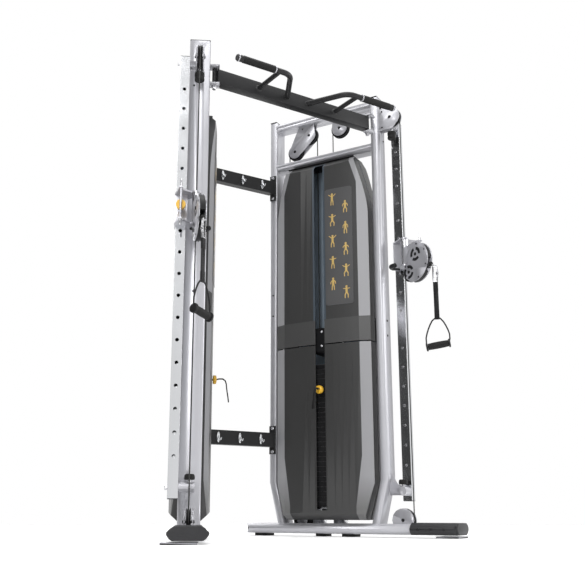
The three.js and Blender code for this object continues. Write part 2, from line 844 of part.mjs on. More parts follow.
const ballAt = [194, 0, -112];
const handleLine = 221;
const handleTurn = Math.PI / 4; // the hanging handle is turned halfway towards the machine's middle
const gripTilt = 0.155; // the grip hangs a little out of level, in radians
const carabiner = { top: -126, bottom: -219, halfWidth: 13 };
const strapBottom = -401;
const grip = { height: -534, half: 50, radius: 16, bore: 5.5, flange: 6 };

function capsule(low, high, half) {
  const shape = new THREE.Shape();
  shape.absarc(0, high - half, half, 0, Math.PI, false);
  shape.absarc(0, low + half, half, Math.PI, 2 * Math.PI, false);
  return shape;
}

function onHandle(body) {
  const turned = geometryOf(body).rotateZ(handleTurn).translate(handleLine, 0, 0);
  return solid(turned);
}

// A point on the grip's axis, in the plane of the bow.
function alongGrip(reach) {
  return [reach * Math.cos(gripTilt), 0, grip.height + reach * Math.sin(gripTilt)];
}

function handleStrap() {
  const { top, bottom, halfWidth } = carabiner;
  const clip = cut(
    slab(capsule(bottom, top, halfWidth), -4, 4),
    slab(capsule(bottom + 8, top - 8, halfWidth - 8), -6, 6),
  );
  const strap = box(-12, 12, -3, 3, strapBottom, bottom + 3);
  const reach = grip.half + 1 + grip.flange;
  const bow = new THREE.CatmullRomCurve3([
    new THREE.Vector3(...alongGrip(-reach + 3)),
    new THREE.Vector3(-reach, 0, grip.height + 40),
    new THREE.Vector3(-14, 0, strapBottom + 2),
    new THREE.Vector3(14, 0, strapBottom + 2),
    new THREE.Vector3(reach, 0, grip.height + 52),
    new THREE.Vector3(...alongGrip(reach - 3)),
  ]);
  const wire = new THREE.Shape();
  wire.absarc(0, 0, 4, 0, 2 * Math.PI);
  const frame = solid(new THREE.ExtrudeGeometry(wire, { steps: 14, extrudePath: bow, curveSegments: 3 }));
  const shaft = bar(alongGrip(-reach), alongGrip(reach), grip.bore - 0.6);
  const caps = [-1, 1].map((side) => bar(
    alongGrip(side * (grip.half + 1)), alongGrip(side * reach), grip.radius + 2, 18,
  ));
  const hanging = onHandle(join(clip, strap, frame, shaft, ...caps));
  const link = bar(ballAt, [handleLine, 0, carabiner.top - 3], 3.5, 10);
  return join(hanging, link, ball(ballAt, 12));
}

function handleGrip() {
  const tube = bar(alongGrip(-grip.half), alongGrip(grip.half), grip.radius, 18);
  const bore = bar(alongGrip(-grip.half - 5), alongGrip(grip.half + 5), grip.bore);
  return onHandle(cut(tube, bore));
}

// ---- cross members, in the machine frame ---------------------------------------------------

function inTower(body) {
  return solid(geometryOf(body).applyMatrix4(toTower));
}

function withMirror(body) {
  return join(body, solid(mirrored(geometryOf(body))));
}

function crossMember({ front, depth, centre, plate, post: postLine }) {
  const face = -post.width / 2 - gap;
  const z0 = centre - beamHeight / 2;
  const z1 = centre + beamHeight / 2;
  const outside = box(-620, 620, front, front + depth, z0, z1);
  const wall = 5;
  const inside = box(-620, 620, front + wall, front + depth - wall, z0 + wall, z1 - wall);
  const beyond = withMirror(inTower(box(postLine - 400, postLine + 400, face - 3, 900, z0 - 5, z1 + 5)));
  const end = cut(
    box(postLine - 19, postLine + 19, face - 6, face, centre - plate / 2, centre + plate / 2),
    box(postLine - 8, postLine + 8, face - 20, face + 20, centre - 12, centre + 12),
  );
  return join(cut(outside, inside, beyond), withMirror(inTower(end)));
}

// The pull-up beam ends in an upright tube on each side, which is held between two plates.
const beamPin = { x: 476, radius: 11, half: 44 };
const beamPlateSteel = 6;

function beamPlates() {
  const { centre } = beams.pullup_beam;
  const near = beamPin.half + gap;
  return [-near - beamPlateSteel, near].map((z) => box(
    frontPostFace - 66, frontPostFace - 12,
    -96, 3 - post.width / 2,
    centre + z, centre + z + beamPlateSteel,
  ));
}

function pullupBeam() {
  const { front, depth, centre } = beams.pullup_beam;
  const wall = 5;
  const half = beamHeight / 2;
  const reach = beamPin.x - 8;
  const outside = box(-reach, reach, front, front + depth, centre - half, centre + half);
  const inside = box(
    wall - reach, reach - wall, front + wall, front + depth - wall,
    centre - half + wall, centre + half - wall,
  );
  const weep = box(-20, 20, front + 15, front + depth - 15, centre - half - 1, centre);
  const y = front + depth / 2;
  const pins = [-1, 1].map((side) => bar(
    [side * beamPin.x, y, centre - beamPin.half],
    [side * beamPin.x, y, centre + beamPin.half],
    beamPin.radius, 14,
  ));
  return join(cut(outside, inside, weep), ...pins, withMirror(pullupHandle()));
}

function pullupHandle() {
  const { front, centre } = beams.pullup_beam;
  const root = front + 2;
  const elbow = [pullup.bend, pullup.reach, centre];
  const tube = pullup.radius;
  const arm = cut(
    bar([pullup.root - 6, root + 10, centre], elbow, tube),
    box(pullup.root - 80, pullup.root + 80, root, root + 60, centre - 40, centre + 40),
  );
  return join(
    arm,
    ball(elbow, tube + 0.4),
    bar(elbow, [pullup.end, pullup.reach, centre], tube),
    bar([pullup.end - 210, pullup.reach, centre], [pullup.end - 5, pullup.reach, centre], pullup.grip),
    bar([pullup.brace, root, centre], [pullup.brace, pullup.reach, centre], tube - 2),
  );
}

// ---- assembly -----------------------------------------------------------------------------

addPair('tower_frame', towerFrame(), toTower, look.silver);
addPair('toe_cover', toeCover(), toTower, look.nylon);
addPair('foot_plate', footPlate(), toTower, look.silver);
addPair('guide_column', guideColumn(), toTower, look.chrome);
for (const [name, { at, pitch }] of Object.entries(pulleys)) {
  addPair(name, sheaveAt(at, pitch), toTower, look.nylon);
}
addPair('cable', cableSolid(cableRoute(), cableRadius), toTower, look.rubber);
addPair('cable_fall', cableSolid(cableFall(), cableRadius), toTower, look.rubber);

const [upperCover, lowerCover] = userCovers();
addPair('upper_cover', upperCover, toTower, look.charcoal);
addPair('lower_cover', lowerCover, toTower, look.charcoal);
addPair('rear_cover', coverShell(1), toTower, look.charcoal);

addPair('resting_plates', restingPlates(), toTower, look.iron);
addPair('lifted_plates', liftedPlates(), toTower, look.iron);
addPair('stack_head', stackHead(), toTower, look.black);
addPair('floating_pulley', sheaveAt([cover.middle, floating.height], floating.pitch), toTower, look.nylon);
addPair('guide_rods', guideRods(), toTower, look.chrome);
addPair('selector_pin', selectorPin(), toTower, look.yellow);

addPair('carriage', carriage(), toTower, look.silver);
addPair('pop_pin', popPin(), toTower, look.yellow);
addArmPair('pulley_arm', pulleyArm(), look.silver);
addArmPair('arm_pulley_upper', sheaveAt(armPulleys.upper, 43, 11), look.nylon);
addArmPair('arm_pulley_lower', sheaveAt(armPulleys.lower, 45, 11), look.nylon);
addArmPair('handle_strap', handleStrap(), look.webbing);
addArmPair('handle_grip', handleGrip(), look.rubber);

addMesh('pullup_beam', geometryOf(pullupBeam()), look.black);
addMesh('upper_crossbar', geometryOf(crossMember(beams.upper_crossbar)), look.black);
addMesh('lower_crossbar', geometryOf(crossMember(beams.lower_crossbar)), look.black);

export default machine;
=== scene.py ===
"""Finishes, fittings, lights and camera for the functional trainer."""

import json
import math

import bmesh
import bpy
from mathutils import Matrix, Vector
from mathutils.geometry import interpolate_bezier

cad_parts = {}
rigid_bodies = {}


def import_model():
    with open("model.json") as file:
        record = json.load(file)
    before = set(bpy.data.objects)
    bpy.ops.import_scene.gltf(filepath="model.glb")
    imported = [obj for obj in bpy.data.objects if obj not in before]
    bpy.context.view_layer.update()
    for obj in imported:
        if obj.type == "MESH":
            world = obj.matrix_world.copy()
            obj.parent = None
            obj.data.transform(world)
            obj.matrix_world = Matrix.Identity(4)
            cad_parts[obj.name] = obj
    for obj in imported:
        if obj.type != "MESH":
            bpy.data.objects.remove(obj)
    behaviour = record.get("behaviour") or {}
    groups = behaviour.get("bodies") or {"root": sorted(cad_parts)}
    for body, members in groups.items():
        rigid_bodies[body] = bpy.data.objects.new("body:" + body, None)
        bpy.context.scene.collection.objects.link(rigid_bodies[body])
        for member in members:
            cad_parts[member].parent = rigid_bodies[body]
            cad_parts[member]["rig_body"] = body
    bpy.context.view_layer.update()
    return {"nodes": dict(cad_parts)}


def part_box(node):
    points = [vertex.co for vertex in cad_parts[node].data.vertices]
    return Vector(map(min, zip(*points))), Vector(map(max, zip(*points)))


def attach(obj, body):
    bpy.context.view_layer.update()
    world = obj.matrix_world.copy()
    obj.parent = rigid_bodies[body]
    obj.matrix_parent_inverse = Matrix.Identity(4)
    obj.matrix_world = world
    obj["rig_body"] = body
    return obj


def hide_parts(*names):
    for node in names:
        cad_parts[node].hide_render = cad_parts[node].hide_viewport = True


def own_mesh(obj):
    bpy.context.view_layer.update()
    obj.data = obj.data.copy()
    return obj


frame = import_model()

MM = 0.001
SIDES = {"right": 1, "left": -1}
CROSSBARS = ("upper_crossbar", "lower_crossbar")

# Each tower has its own axes: forward along the base, outward from the user, and up. An arm
# has its own too: forward, sideways and up from its locking hole. The sizes below are in
# millimetres along those axes; BEAM and PULLUP sizes are along the machine's own.
TOWER_TURN = math.radians(27)
FORWARD = Vector((math.sin(TOWER_TURN), -math.cos(TOWER_TURN), 0))
OUTWARD = Vector((math.cos(TOWER_TURN), math.sin(TOWER_TURN), 0))
TOWER_ORIGIN = Vector((176, 569.35, 0))
SWIVEL_LINE = 965
CARRIAGE_HEIGHT = 1450
COVER_MIDDLE = 505
POST_FRONT = 852
POST_REAR = 168
POST_DEPTH = 42
POST_REAR_LINE = POST_REAR + POST_DEPTH / 2
POST_TOP = 2361
RAIL_HEIGHTS = (2326, 2074)
COLUMN_BACK = 891
COLUMN_FRONT = 938
COLUMN_MIDDLE = 914.5
COLUMN_INNER = 46.5
COLUMN_OUTER = 91
FIRST_HOLE = 2050
HOLE_PITCH = 100
HOLE_COUNT = 18
PIN_HEIGHT = 743.4
BLOCK_FACE = -75
ARM_BALL = (194, 0, -112)
BALL_REACH = 13
ARM_CENTRE = (85, -75)
ARM_FACE = 17
HANDLE_LINE = 221
HANDLE_TURN = math.radians(45)
GRIP_TILT = 0.155
ARM_TURN = {1: 0.0, -1: math.radians(18)}
STRAP_TOP = -219
STRAP_BOTTOM = -401
GRIP_HEIGHT = -534
PLACARD_LEFT = 546
PLACARD_RIGHT = 705
PLACARD_LOW = 1190
PLACARD_HIGH = 1850
BOARD_THICK = 1.6
PRINT_LIFT = 1.5
PRINT_THICK = 0.3
BASE_FRONT = 1205
TOE_HALF = 81.2
BEAM_FRONT = -201.65
BEAM_HEIGHT = 2193.5
PULLUP_REACH = -400.65
PULLUP_GRIP_START = (268, PULLUP_REACH, BEAM_HEIGHT)


# ---- camera, lights and floor ----

def make_camera():
    data = bpy.data.cameras.new("camera")
    camera = bpy.data.objects.new("camera", data)
    bpy.context.scene.collection.objects.link(camera)
    camera.location = (-2.215, -3.4846, 0.1245)
    camera.rotation_euler = (math.radians(90 + 13.80), 0, math.radians(-32.70))
    data.sensor_width = 36
    data.lens = 51.5
    data.shift_x = 0.0208
    data.shift_y = 0.0227
    data.clip_end = 200
    bpy.context.scene.camera = camera


def area_light(name, at, target, size, power):
    """A white rectangular lamp that points at a target."""
    data = bpy.data.lights.new(name, "AREA")
    data.shape = "RECTANGLE"
    data.size = size[0]
    data.size_y = size[1]
    data.energy = power
    light = bpy.data.objects.new(name, data)
    light.location = at
    aim = Vector(target) - Vector(at)
    light.rotation_euler = aim.to_track_quat("-Z", "Y").to_euler()
    bpy.context.scene.collection.objects.link(light)


def make_lights():
    area_light("key", (-4.2, -3.6, 3.6), (0, 0, 1.2), (2.4, 2.8), 150)
    area_light("side", (4.6, -2.6, 2.4), (0.4, 0, 1.2), (1.6, 3.0), 90)
    area_light("top", (0, -0.6, 5.0), (0, 0, 0), (3.0, 3.0), 70)
    area_light("behind", (1.5, 4.6, 2.6), (0, 0, 1.2), (2.5, 2.5), 60)


def make_world():
    """A white room: full white to the camera, dimmer as light, and dark towards -X in
    reflections."""
    world = bpy.data.worlds.new("studio")
    bpy.context.scene.world = world
    world.use_nodes = True
    tree = world.node_tree
    tree.nodes.clear()
    output = tree.nodes.new("ShaderNodeOutputWorld")
    seen, lit, mirrored = (tree.nodes.new("ShaderNodeBackground") for _ in range(3))
    for background in (seen, lit, mirrored):
        background.inputs["Color"].default_value = grey(1.0)
    lit.inputs["Strength"].default_value = 0.62
    direction = tree.nodes.new("ShaderNodeSeparateXYZ")
    coordinate = tree.nodes.new("ShaderNodeTexCoord")
    tree.links.new(coordinate.outputs["Generated"], direction.inputs[0])
    ramp = tree.nodes.new("ShaderNodeMapRange")
    ramp.interpolation_type = "SMOOTHSTEP"
    for socket, value in (("From Min", -0.95), ("From Max", -0.35), ("To Min", 0.06), ("To Max", 0.95)):
        ramp.inputs[socket].default_value = value
    tree.links.new(direction.outputs["X"], ramp.inputs["Value"])
    tree.links.new(ramp.outputs["Result"], mirrored.inputs["Strength"])
    path = tree.nodes.new("ShaderNodeLightPath")
    surface = lit
    for ray, background in (("Is Glossy Ray", mirrored), ("Is Camera Ray", seen)):
        mixed = tree.nodes.new("ShaderNodeMixShader")
        tree.links.new(path.outputs[ray], mixed.inputs[0])
        tree.links.new(surface.outputs[0], mixed.inputs[1])
        tree.links.new(background.outputs[0], mixed.inputs[2])
        surface = mixed
    tree.links.new(surface.outputs[0], output.inputs["Surface"])


def make_floor():
    """A pale paper floor that fades out far from the machine."""
    bm = bmesh.new()
    bmesh.ops.create_circle(bm, cap_ends=True, segments=96, radius=9)
    floor = new_object("floor", bm)
    floor.location.z = -0.0005
    nodes = Nodes("floor_paper")
    nodes.set("Base Color", grey(0.93))
    nodes.set("Roughness", 0.75)
    nodes.set("Emission Color", grey(1.0))
    nodes.set("Emission Strength", 0.32)
    centre = nodes.add("ShaderNodeVectorMath", operation="LENGTH")
    nodes.put(centre, 0, nodes.position)
    fade = nodes.spread(centre.outputs["Value"], 1.0, 0.0, 1.6, 5.5, "SMOOTHSTEP")
    nodes.set("Alpha", fade)
    floor.data.materials.append(nodes.material)


# ---- materials ----

class Nodes:
    """A material's node tree with its Principled shader and its surface position."""

    def __init__(self, name):
        self.material = bpy.data.materials.new(name)
        self.material.use_nodes = True
        self.tree = self.material.node_tree
        self.shader = self.tree.nodes["Principled BSDF"]
        self.position = self.add("ShaderNodeTexCoord").outputs["Object"]

    def add(self, kind, **settings):
        node = self.tree.nodes.new(kind)
        for key, value in settings.items():
            setattr(node, key, value)
        return node

    def put(self, node, socket, value):
        """Gives a node's socket another node's output, or a constant of its own."""
        if isinstance(value, bpy.types.NodeSocket):
            self.tree.links.new(value, node.inputs[socket])
        else:
            node.inputs[socket].default_value = value

    def set(self, socket, value):
        self.put(self.shader, socket, value)

    def finished(self, colour, roughness, normal):
        """The material, once the three inputs that every finish has are linked."""
        self.set("Base Color", colour)
        self.set("Roughness", roughness)
        self.set("Normal", normal)
        return self.material

    def noise(self, scale, detail=3.0, stretch=None):
        node = self.add("ShaderNodeTexNoise")
        self.put(node, "Scale", scale)
        self.put(node, "Detail", detail)
        source = self.position
        if stretch:
            mapping = self.add("ShaderNodeMapping")
            self.put(mapping, "Scale", stretch)
            self.put(mapping, "Vector", source)
            source = mapping.outputs[0]
        self.put(node, "Vector", source)
        return node.outputs["Fac"]

    def spread(self, value, low, high, start=0.3, end=0.7, shape="LINEAR"):
        """Maps a value from start..end to low..high."""
        node = self.add("ShaderNodeMapRange", interpolation_type=shape)
        for socket, bound in (("From Min", start), ("From Max", end), ("To Min", low), ("To Max", high)):
            self.put(node, socket, bound)
        self.put(node, "Value", value)
        return node.outputs["Result"]

    def math(self, operation, first, second=0.0):
        node = self.add("ShaderNodeMath", operation=operation)
        self.put(node, 0, first)
        self.put(node, 1, second)
        return node.outputs[0]

    def blend(self, factor, first, second):
        node = self.add("ShaderNodeMix", data_type="RGBA")
        for socket, value in ((0, factor), (6, first), (7, second)):
            self.put(node, socket, value)
        return node.outputs[2]

    def bump(self, height, strength, distance, normal=None):
        node = self.add("ShaderNodeBump")
        self.put(node, "Strength", strength)
        self.put(node, "Distance", distance)
        self.put(node, "Height", height)
        if normal is not None:
            self.put(node, "Normal", normal)
        return node.outputs[0]

    def along(self, vector, direction):
        """A vector's length along a tower direction; the left tower is read as a mirror image."""
        sign = self.add("ShaderNodeSeparateXYZ")
        self.put(sign, 0, self.position)
        parts = self.add("ShaderNodeSeparateXYZ")
        self.put(parts, 0, vector)
        across = self.math("MULTIPLY", parts.outputs["X"], self.math("SIGN", sign.outputs["X"]))
        return self.math(
            "ADD",
            self.math("MULTIPLY", across, direction.x),
            self.math("MULTIPLY", parts.outputs["Y"], direction.y),
        )

    def in_tower(self, direction):
        """The surface position along a tower direction, in metres from the tower's origin."""
        return self.math("SUBTRACT", self.along(self.position, direction),
                         TOWER_ORIGIN.dot(direction) * MM)

    def over(self, value, edge):
        """0 below an edge value and 1 above it, with a change 1 mm wide."""
        return self.spread(value, 0.0, 1.0, edge - 0.0005, edge + 0.0005)

    def under(self, value, edge):
        """1 below an edge value and 0 above it, with a change 1 mm wide."""
        return self.spread(value, 1.0, 0.0, edge - 0.0005, edge + 0.0005)

    def soft_edges(self, radius):
        """The surface normal with every edge rounded by a radius in metres."""
        node = self.add("ShaderNodeBevel", samples=4)
        self.put(node, "Radius", radius)
        return node.outputs[0]

    def worn_and_highlit_edges(self, rounded):
        """0 on flat faces, 1 on edges."""
        geometry = self.add("ShaderNodeNewGeometry")
        dot = self.add("ShaderNodeVectorMath", operation="DOT_PRODUCT")
        self.put(dot, 0, geometry.outputs["Normal"])
        self.put(dot, 1, rounded)
        return self.spread(dot.outputs["Value"], 1.0, 0.0, 0.80, 0.985)


def grey(tone):
    return (tone, tone, tone, 1.0)


def shade(colour, factor):
    return tuple(channel * factor for channel in colour) + (1.0,)


def finish_of(name, colour, roughness, metallic=0.0, mottle=0.10, grain=900.0, relief=0.05,
              edge=0.0016, wear_and_highlight=0.25, streaks=None, specular=0.5):
    """A coated or moulded surface: mottled colour, fine grain, soft edges, and edges lightened partly as
    slight wear and partly as a painted highlight.
    """
    nodes = Nodes(name)
    nodes.set("Metallic", metallic)
    nodes.set("Specular IOR Level", specular)
    cloud = nodes.noise(7.0)
    fine = nodes.noise(grain, 2.0, streaks)
    base = nodes.blend(cloud, shade(colour, 1 - mottle), shade(colour, 1 + mottle))
    rounded = nodes.soft_edges(edge)
    # Edges lightened towards grey: partly edge wear, partly a painted highlight along the edges.
    lit = nodes.blend(
        nodes.math("MULTIPLY", nodes.worn_and_highlit_edges(rounded), wear_and_highlight),
        base, shade([0.35 + 0.65 * c for c in colour], 1.0),
    )
    gloss = nodes.math(
        "ADD",
        nodes.spread(fine, roughness * 0.88, roughness * 1.12),
        nodes.spread(cloud, -0.025, 0.025),
    )
    return nodes.finished(lit, gloss, nodes.bump(fine, relief, 0.0006, rounded))


def dull_finish(name, colour, roughness, mottle, grain, relief, edge=0.0016, wear_and_highlight=0.25):
    """A black or nearly black finish, with weaker reflections than the others."""
    return finish_of(name, colour, roughness, 0.0, mottle, grain, relief, edge, wear_and_highlight, specular=0.25)


def cover_finish(name):
    """Moulded cover sheet: dark panel, light border, plain band at mid-height, slate slot rim."""
    panel, border, band_tone, foot_tone = 0.037, 0.29, 0.058, 0.15
    slate_rim = (0.056, 0.074, 0.094, 1)
    panel_half, slot_half = 0.225, 0.038
    band_low, band_high = 0.985, 1.1185
    slot_low, slot_high = 1.119, 2.0175
    nodes = Nodes(name)
    split = nodes.add("ShaderNodeSeparateXYZ")
    nodes.put(split, 0, nodes.position)
    height = split.outputs["Z"]
    from_middle = nodes.math(
        "ABSOLUTE", nodes.math("SUBTRACT", nodes.in_tower(FORWARD), COVER_MIDDLE * MM))
    narrowing = nodes.math(
        "ADD",
        nodes.spread(height, 0.0, 0.045, 1.87, 2.02),
        nodes.spread(height, 0.035, 0.0, 0.15, 0.40),
    )
    outside = nodes.over(nodes.math("ADD", from_middle, narrowing), panel_half)
    geometry = nodes.add("ShaderNodeNewGeometry")
    facing_end = nodes.math("ABSOLUTE", nodes.along(geometry.outputs["True Normal"], FORWARD))
    flat_face = nodes.spread(facing_end, 1.0, 0.0, 0.80, 0.82)
    light = nodes.math("MULTIPLY", outside, flat_face)
    band = nodes.math("MULTIPLY", nodes.over(height, band_low), nodes.under(height, band_high))
    low = nodes.spread(height, 1.0, 0.0, 0.14, 0.30)
    inner = nodes.math("MULTIPLY", nodes.under(from_middle, slot_half),
                       nodes.spread(nodes.in_tower(OUTWARD), 1.0, 0.0, -0.01, 0.0))
    in_slot = nodes.math("MULTIPLY", nodes.over(height, slot_low), nodes.under(height, slot_high))
    cloud = nodes.noise(4.0)
    grain = nodes.noise(1400.0, 2.0)
    dark = nodes.blend(cloud, grey(panel * 0.93), grey(panel * 1.07))
    pale = nodes.blend(cloud, (border * 0.97, border * 0.97, border * 1.01, 1),
                       (border * 1.03, border * 1.03, border * 1.08, 1))
    pale = nodes.blend(low, pale, grey(foot_tone))
    base = nodes.blend(light, dark, pale)
    base = nodes.blend(band, base, grey(band_tone))
    base = nodes.blend(nodes.math("MULTIPLY", inner, in_slot), base, slate_rim)
    rounded = nodes.soft_edges(0.003)
    return nodes.finished(base, nodes.spread(grain, 0.34, 0.46),
                          nodes.bump(grain, 0.10, 0.0005, rounded))


def webbing_finish(name, colour):
    """Flat woven tape: ribs across and along it, with a soft sheen."""
    nodes = Nodes(name)
    nodes.set("Specular IOR Level", 0.25)
    nodes.set("Sheen Weight", 0.12)
    nodes.set("Sheen Roughness", 0.5)
    across = nodes.add("ShaderNodeTexWave", bands_direction="Z")
    nodes.put(across, "Scale", 130.0)
    nodes.put(across, "Distortion", 0.4)
    along = nodes.add("ShaderNodeTexWave", bands_direction="X")
    nodes.put(along, "Scale", 240.0)
    for wave in (across, along):
        nodes.put(wave, "Vector", nodes.position)
    weave = nodes.math("MULTIPLY", across.outputs["Fac"], along.outputs["Fac"])
    base = nodes.blend(weave, shade(colour, 0.7), shade(colour, 1.6))
    return nodes.finished(base, nodes.spread(weave, 0.85, 0.65), nodes.bump(weave, 0.6, 0.0006))


def grip_finish(name, colour):
    """Moulded rubber grip with small pimples."""
    nodes = Nodes(name)
    nodes.set("Specular IOR Level", 0.25)
    cells = nodes.add("ShaderNodeTexVoronoi")
    nodes.put(cells, "Scale", 320.0)
    nodes.put(cells, "Vector", nodes.position)
    dots = cells.outputs["Distance"]
    base = nodes.blend(dots, shade(colour, 1.35), shade(colour, 0.75))
    return nodes.finished(base, nodes.spread(dots, 0.5, 0.7, 0.0, 1.0),
                          nodes.bump(dots, 0.5, 0.0008))


def cable_finish(name, colour):
    """Jacketed wire rope, with the lay of the strands just showing."""
    nodes = Nodes(name)
    lay = nodes.add("ShaderNodeTexWave", bands_direction="DIAGONAL")
    nodes.put(lay, "Scale", 210.0)
    nodes.put(lay, "Vector", nodes.position)
    strands = lay.outputs["Fac"]
    base = nodes.blend(strands, shade(colour, 0.8), shade(colour, 1.5))
    return nodes.finished(base, nodes.spread(strands, 0.35, 0.5), nodes.bump(strands, 0.4, 0.0004))


silver = finish_of("silver_coat", (0.50, 0.50, 0.53), 0.34, 0.55, 0.05, 1500.0, 0.06)
silver_plate = finish_of("silver_plate", (0.46, 0.46, 0.49), 0.32, 0.65, 0.06, 1500.0, 0.05)
chrome = finish_of("chrome", (0.74, 0.75, 0.77), 0.10, 1.0, 0.03, 700.0, 0.02, 0.0010, 0.1,
                   (1.0, 1.0, 0.03))
clip_steel = finish_of("clip_steel", (0.33, 0.33, 0.34), 0.22, 1.0, 0.08, 1100.0, 0.05, 0.0008)
steel = finish_of("bright_steel", (0.58, 0.58, 0.60), 0.24, 1.0, 0.08, 1100.0, 0.05, 0.0008)
black_coat = dull_finish("black_coat", (0.009, 0.009, 0.010), 0.38, 0.15, 1300.0, 0.12)
beam_coat = dull_finish("beam_coat", (0.022, 0.022, 0.023), 0.40, 0.12, 1300.0, 0.14)
black_plastic = dull_finish("black_plastic", (0.010, 0.010, 0.011), 0.45, 0.15, 1600.0, 0.15)
charcoal = dull_finish("charcoal_plastic", (0.030, 0.030, 0.032), 0.45, 0.15, 1600.0, 0.15)
nylon = dull_finish("nylon", (0.009, 0.009, 0.010), 0.33, 0.12, 1800.0, 0.08)
rubber = dull_finish("rubber", (0.010, 0.010, 0.010), 0.62, 0.2, 1100.0, 0.25, 0.001, 0.1)
plate_paint = dull_finish("plate_paint", (0.012, 0.012, 0.013), 0.42, 0.2, 700.0, 0.2, 0.0012, 0.5)
yellow = finish_of("yellow_plastic", (0.80, 0.46, 0.035), 0.30, 0.0, 0.06, 1500.0, 0.05, 0.002, 0.2)
gold = finish_of("placard_gold", (0.55, 0.38, 0.12), 0.42, 0.0, 0.15, 500.0, 0.05, 0.0004, 0.0)
placard_print = finish_of("placard_print", (0.075, 0.075, 0.077), 0.36, 0.0, 0.12, 900.0, 0.03,
                          0.0006, 0.2)
slate = finish_of("slate_liner", (0.31, 0.38, 0.45), 0.42, 0.0, 0.12, 900.0, 0.06, 0.001, 0.1)
stitch = finish_of("stitching", (0.10, 0.10, 0.10), 0.7, 0.0, 0.2, 900.0, 0.2, 0.0003, 0.0)
webbing = webbing_finish("webbing", (0.010, 0.010, 0.011))
grip_rubber = grip_finish("grip_rubber", (0.009, 0.009, 0.009))
cable_jacket = cable_finish("cable_jacket", (0.012, 0.012, 0.012))
cover_sheet = cover_finish("cover_sheet")


# ---- building meshes ----

def new_object(name, bm):
    """Turns a finished mesh under construction into an object."""
    mesh = bpy.data.meshes.new(name)
    bmesh.ops.recalc_face_normals(bm, faces=bm.faces)
    bm.to_mesh(mesh)
    bm.free()
    made = bpy.data.objects.new(name, mesh)
    bpy.context.scene.collection.objects.link(made)
    return made


def smooth(made, degrees):
    for polygon in made.data.polygons:
        polygon.use_smooth = True
    made.data.set_sharp_from_angle(angle=math.radians(degrees))


def piece(label, body, material, place, build, degrees=32):
    """Builds a piece in its own axes, moves it to its place and lets it ride on a body."""
    bm = bmesh.new()
    build(bm)
    bmesh.ops.remove_doubles(bm, verts=bm.verts, dist=1e-4)
    bm.transform(place)
    made = new_object(label, bm)
    smooth(made, degrees)
    made.data.materials.append(material)
    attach(made, body)
    return made


def in_machine(side=1):
    """The matrix from the machine's axes in millimetres to metres, mirrored for the left side."""
    return Matrix.Diagonal((side * MM, MM, MM, 1))


def in_tower(side):
    """The matrix from a tower's axes in millimetres to the machine in metres."""
    place = Matrix((
        (FORWARD.x, OUTWARD.x, 0, TOWER_ORIGIN.x),
        (FORWARD.y, OUTWARD.y, 0, TOWER_ORIGIN.y),
        (0, 0, 1, 0),
        (0, 0, 0, 1),
    ))
    return in_machine(side) @ place


def in_arm(side):
    """The matrix from an arm's axes in millimetres (forward, sideways, up from the locking hole)."""
    swivel = TOWER_ORIGIN + FORWARD * SWIVEL_LINE
    place = Matrix.Translation((swivel.x, swivel.y, CARRIAGE_HEIGHT))
    turn = Matrix.Rotation(ARM_TURN[side] - math.pi / 2, 4, "Z")
    return in_machine(side) @ place @ turn


def on_handle(side):
    """The matrix from the hanging handle's axes: along the grip, across it, up."""
    turn = Matrix.Translation((HANDLE_LINE, 0, 0)) @ Matrix.Rotation(HANDLE_TURN, 4, "Z")
    return in_arm(side) @ turn


def lathe(bm, start, direction, profile, segments=40):
    """Turns (distance along, radius) pairs round an axis into a closed solid."""
    axis = Vector(direction).normalized()
    first = axis.orthogonal().normalized()
    second = axis.cross(first)
    rings = []
    for along, radius in profile:
        centre = Vector(start) + axis * along
        if radius == 0:
            rings.append([bm.verts.new(centre)])
            continue
        angles = [2 * math.pi * i / segments for i in range(segments)]
        rings.append([
            bm.verts.new(centre + (first * math.cos(a) + second * math.sin(a)) * radius)
            for a in angles
        ])
    for low, high in zip(rings, rings[1:]):
        for i in range(segments):
            j = (i + 1) % segments
            if len(low) == 1:
                bm.faces.new((low[0], high[i], high[j]))
            elif len(high) == 1:
                bm.faces.new((low[i], low[j], high[0]))
            else:
                bm.faces.new((low[i], low[j], high[j], high[i]))


def rod(bm, start, end, radius, segments=24, edge=0.8):
    """A round bar with its end edges broken."""
    length = (Vector(end) - Vector(start)).length
    lathe(bm, start, Vector(end) - Vector(start), [
        (0, 0), (0, radius - edge), (edge, radius), (length - edge, radius),
        (length, radius - edge), (length, 0),
    ], segments)


def skin(bm, rings):
    """Joins rings of points, all with the same number of points, into one closed solid."""
    made = [[bm.verts.new(point) for point in ring] for ring in rings]
    for low, high in zip(made, made[1:]):
        for k in range(len(low)):
            n = (k + 1) % len(low)
            bm.faces.new((low[k], low[n], high[n], high[k]))
    bm.faces.new(made[0])
    bm.faces.new(list(reversed(made[-1])))


def arc(centre, radius, start, end, steps):
    """Points round an arc, as (along, up) pairs; the angles are in radians."""
    angles = [start + (end - start) * i / steps for i in range(steps + 1)]
    return [(centre[0] + radius * math.cos(a), centre[1] + radius * math.sin(a)) for a in angles]


def smooth_path(points, steps):
    """A Catmull-Rom curve through the points."""
    points = [Vector(p) for p in points]
    ends = [points[0] * 2 - points[1]] + points + [points[-1] * 2 - points[-2]]
    made = []
    for a, b, c, d in zip(ends, ends[1:], ends[2:], ends[3:]):
        for i in range(steps):
            t = i / steps
            made.append(0.5 * (2 * b + (c - a) * t + (2 * a - 5 * b + 4 * c - d) * t * t
                               + (3 * b - a - 3 * c + d) * t ** 3))
    return made + [points[-1]]


def rounded_corner(start, corner, end, radius, steps=10):
    """Points of a round bend that takes the place of a corner between two straight runs."""
    start, corner, end = Vector(start), Vector(corner), Vector(end)
    into = (start - corner).normalized()
    out = (end - corner).normalized()
    half = into.angle(out) / 2
    middle = corner + (into + out).normalized() * radius / math.sin(half)
    first = corner + into * radius / math.tan(half) - middle
    last = corner + out * radius / math.tan(half) - middle
    first.normalize()
    last.normalize()
    bend = [middle + first.slerp(last, i / steps) * radius for i in range(steps + 1)]
    return [start] + bend + [end]


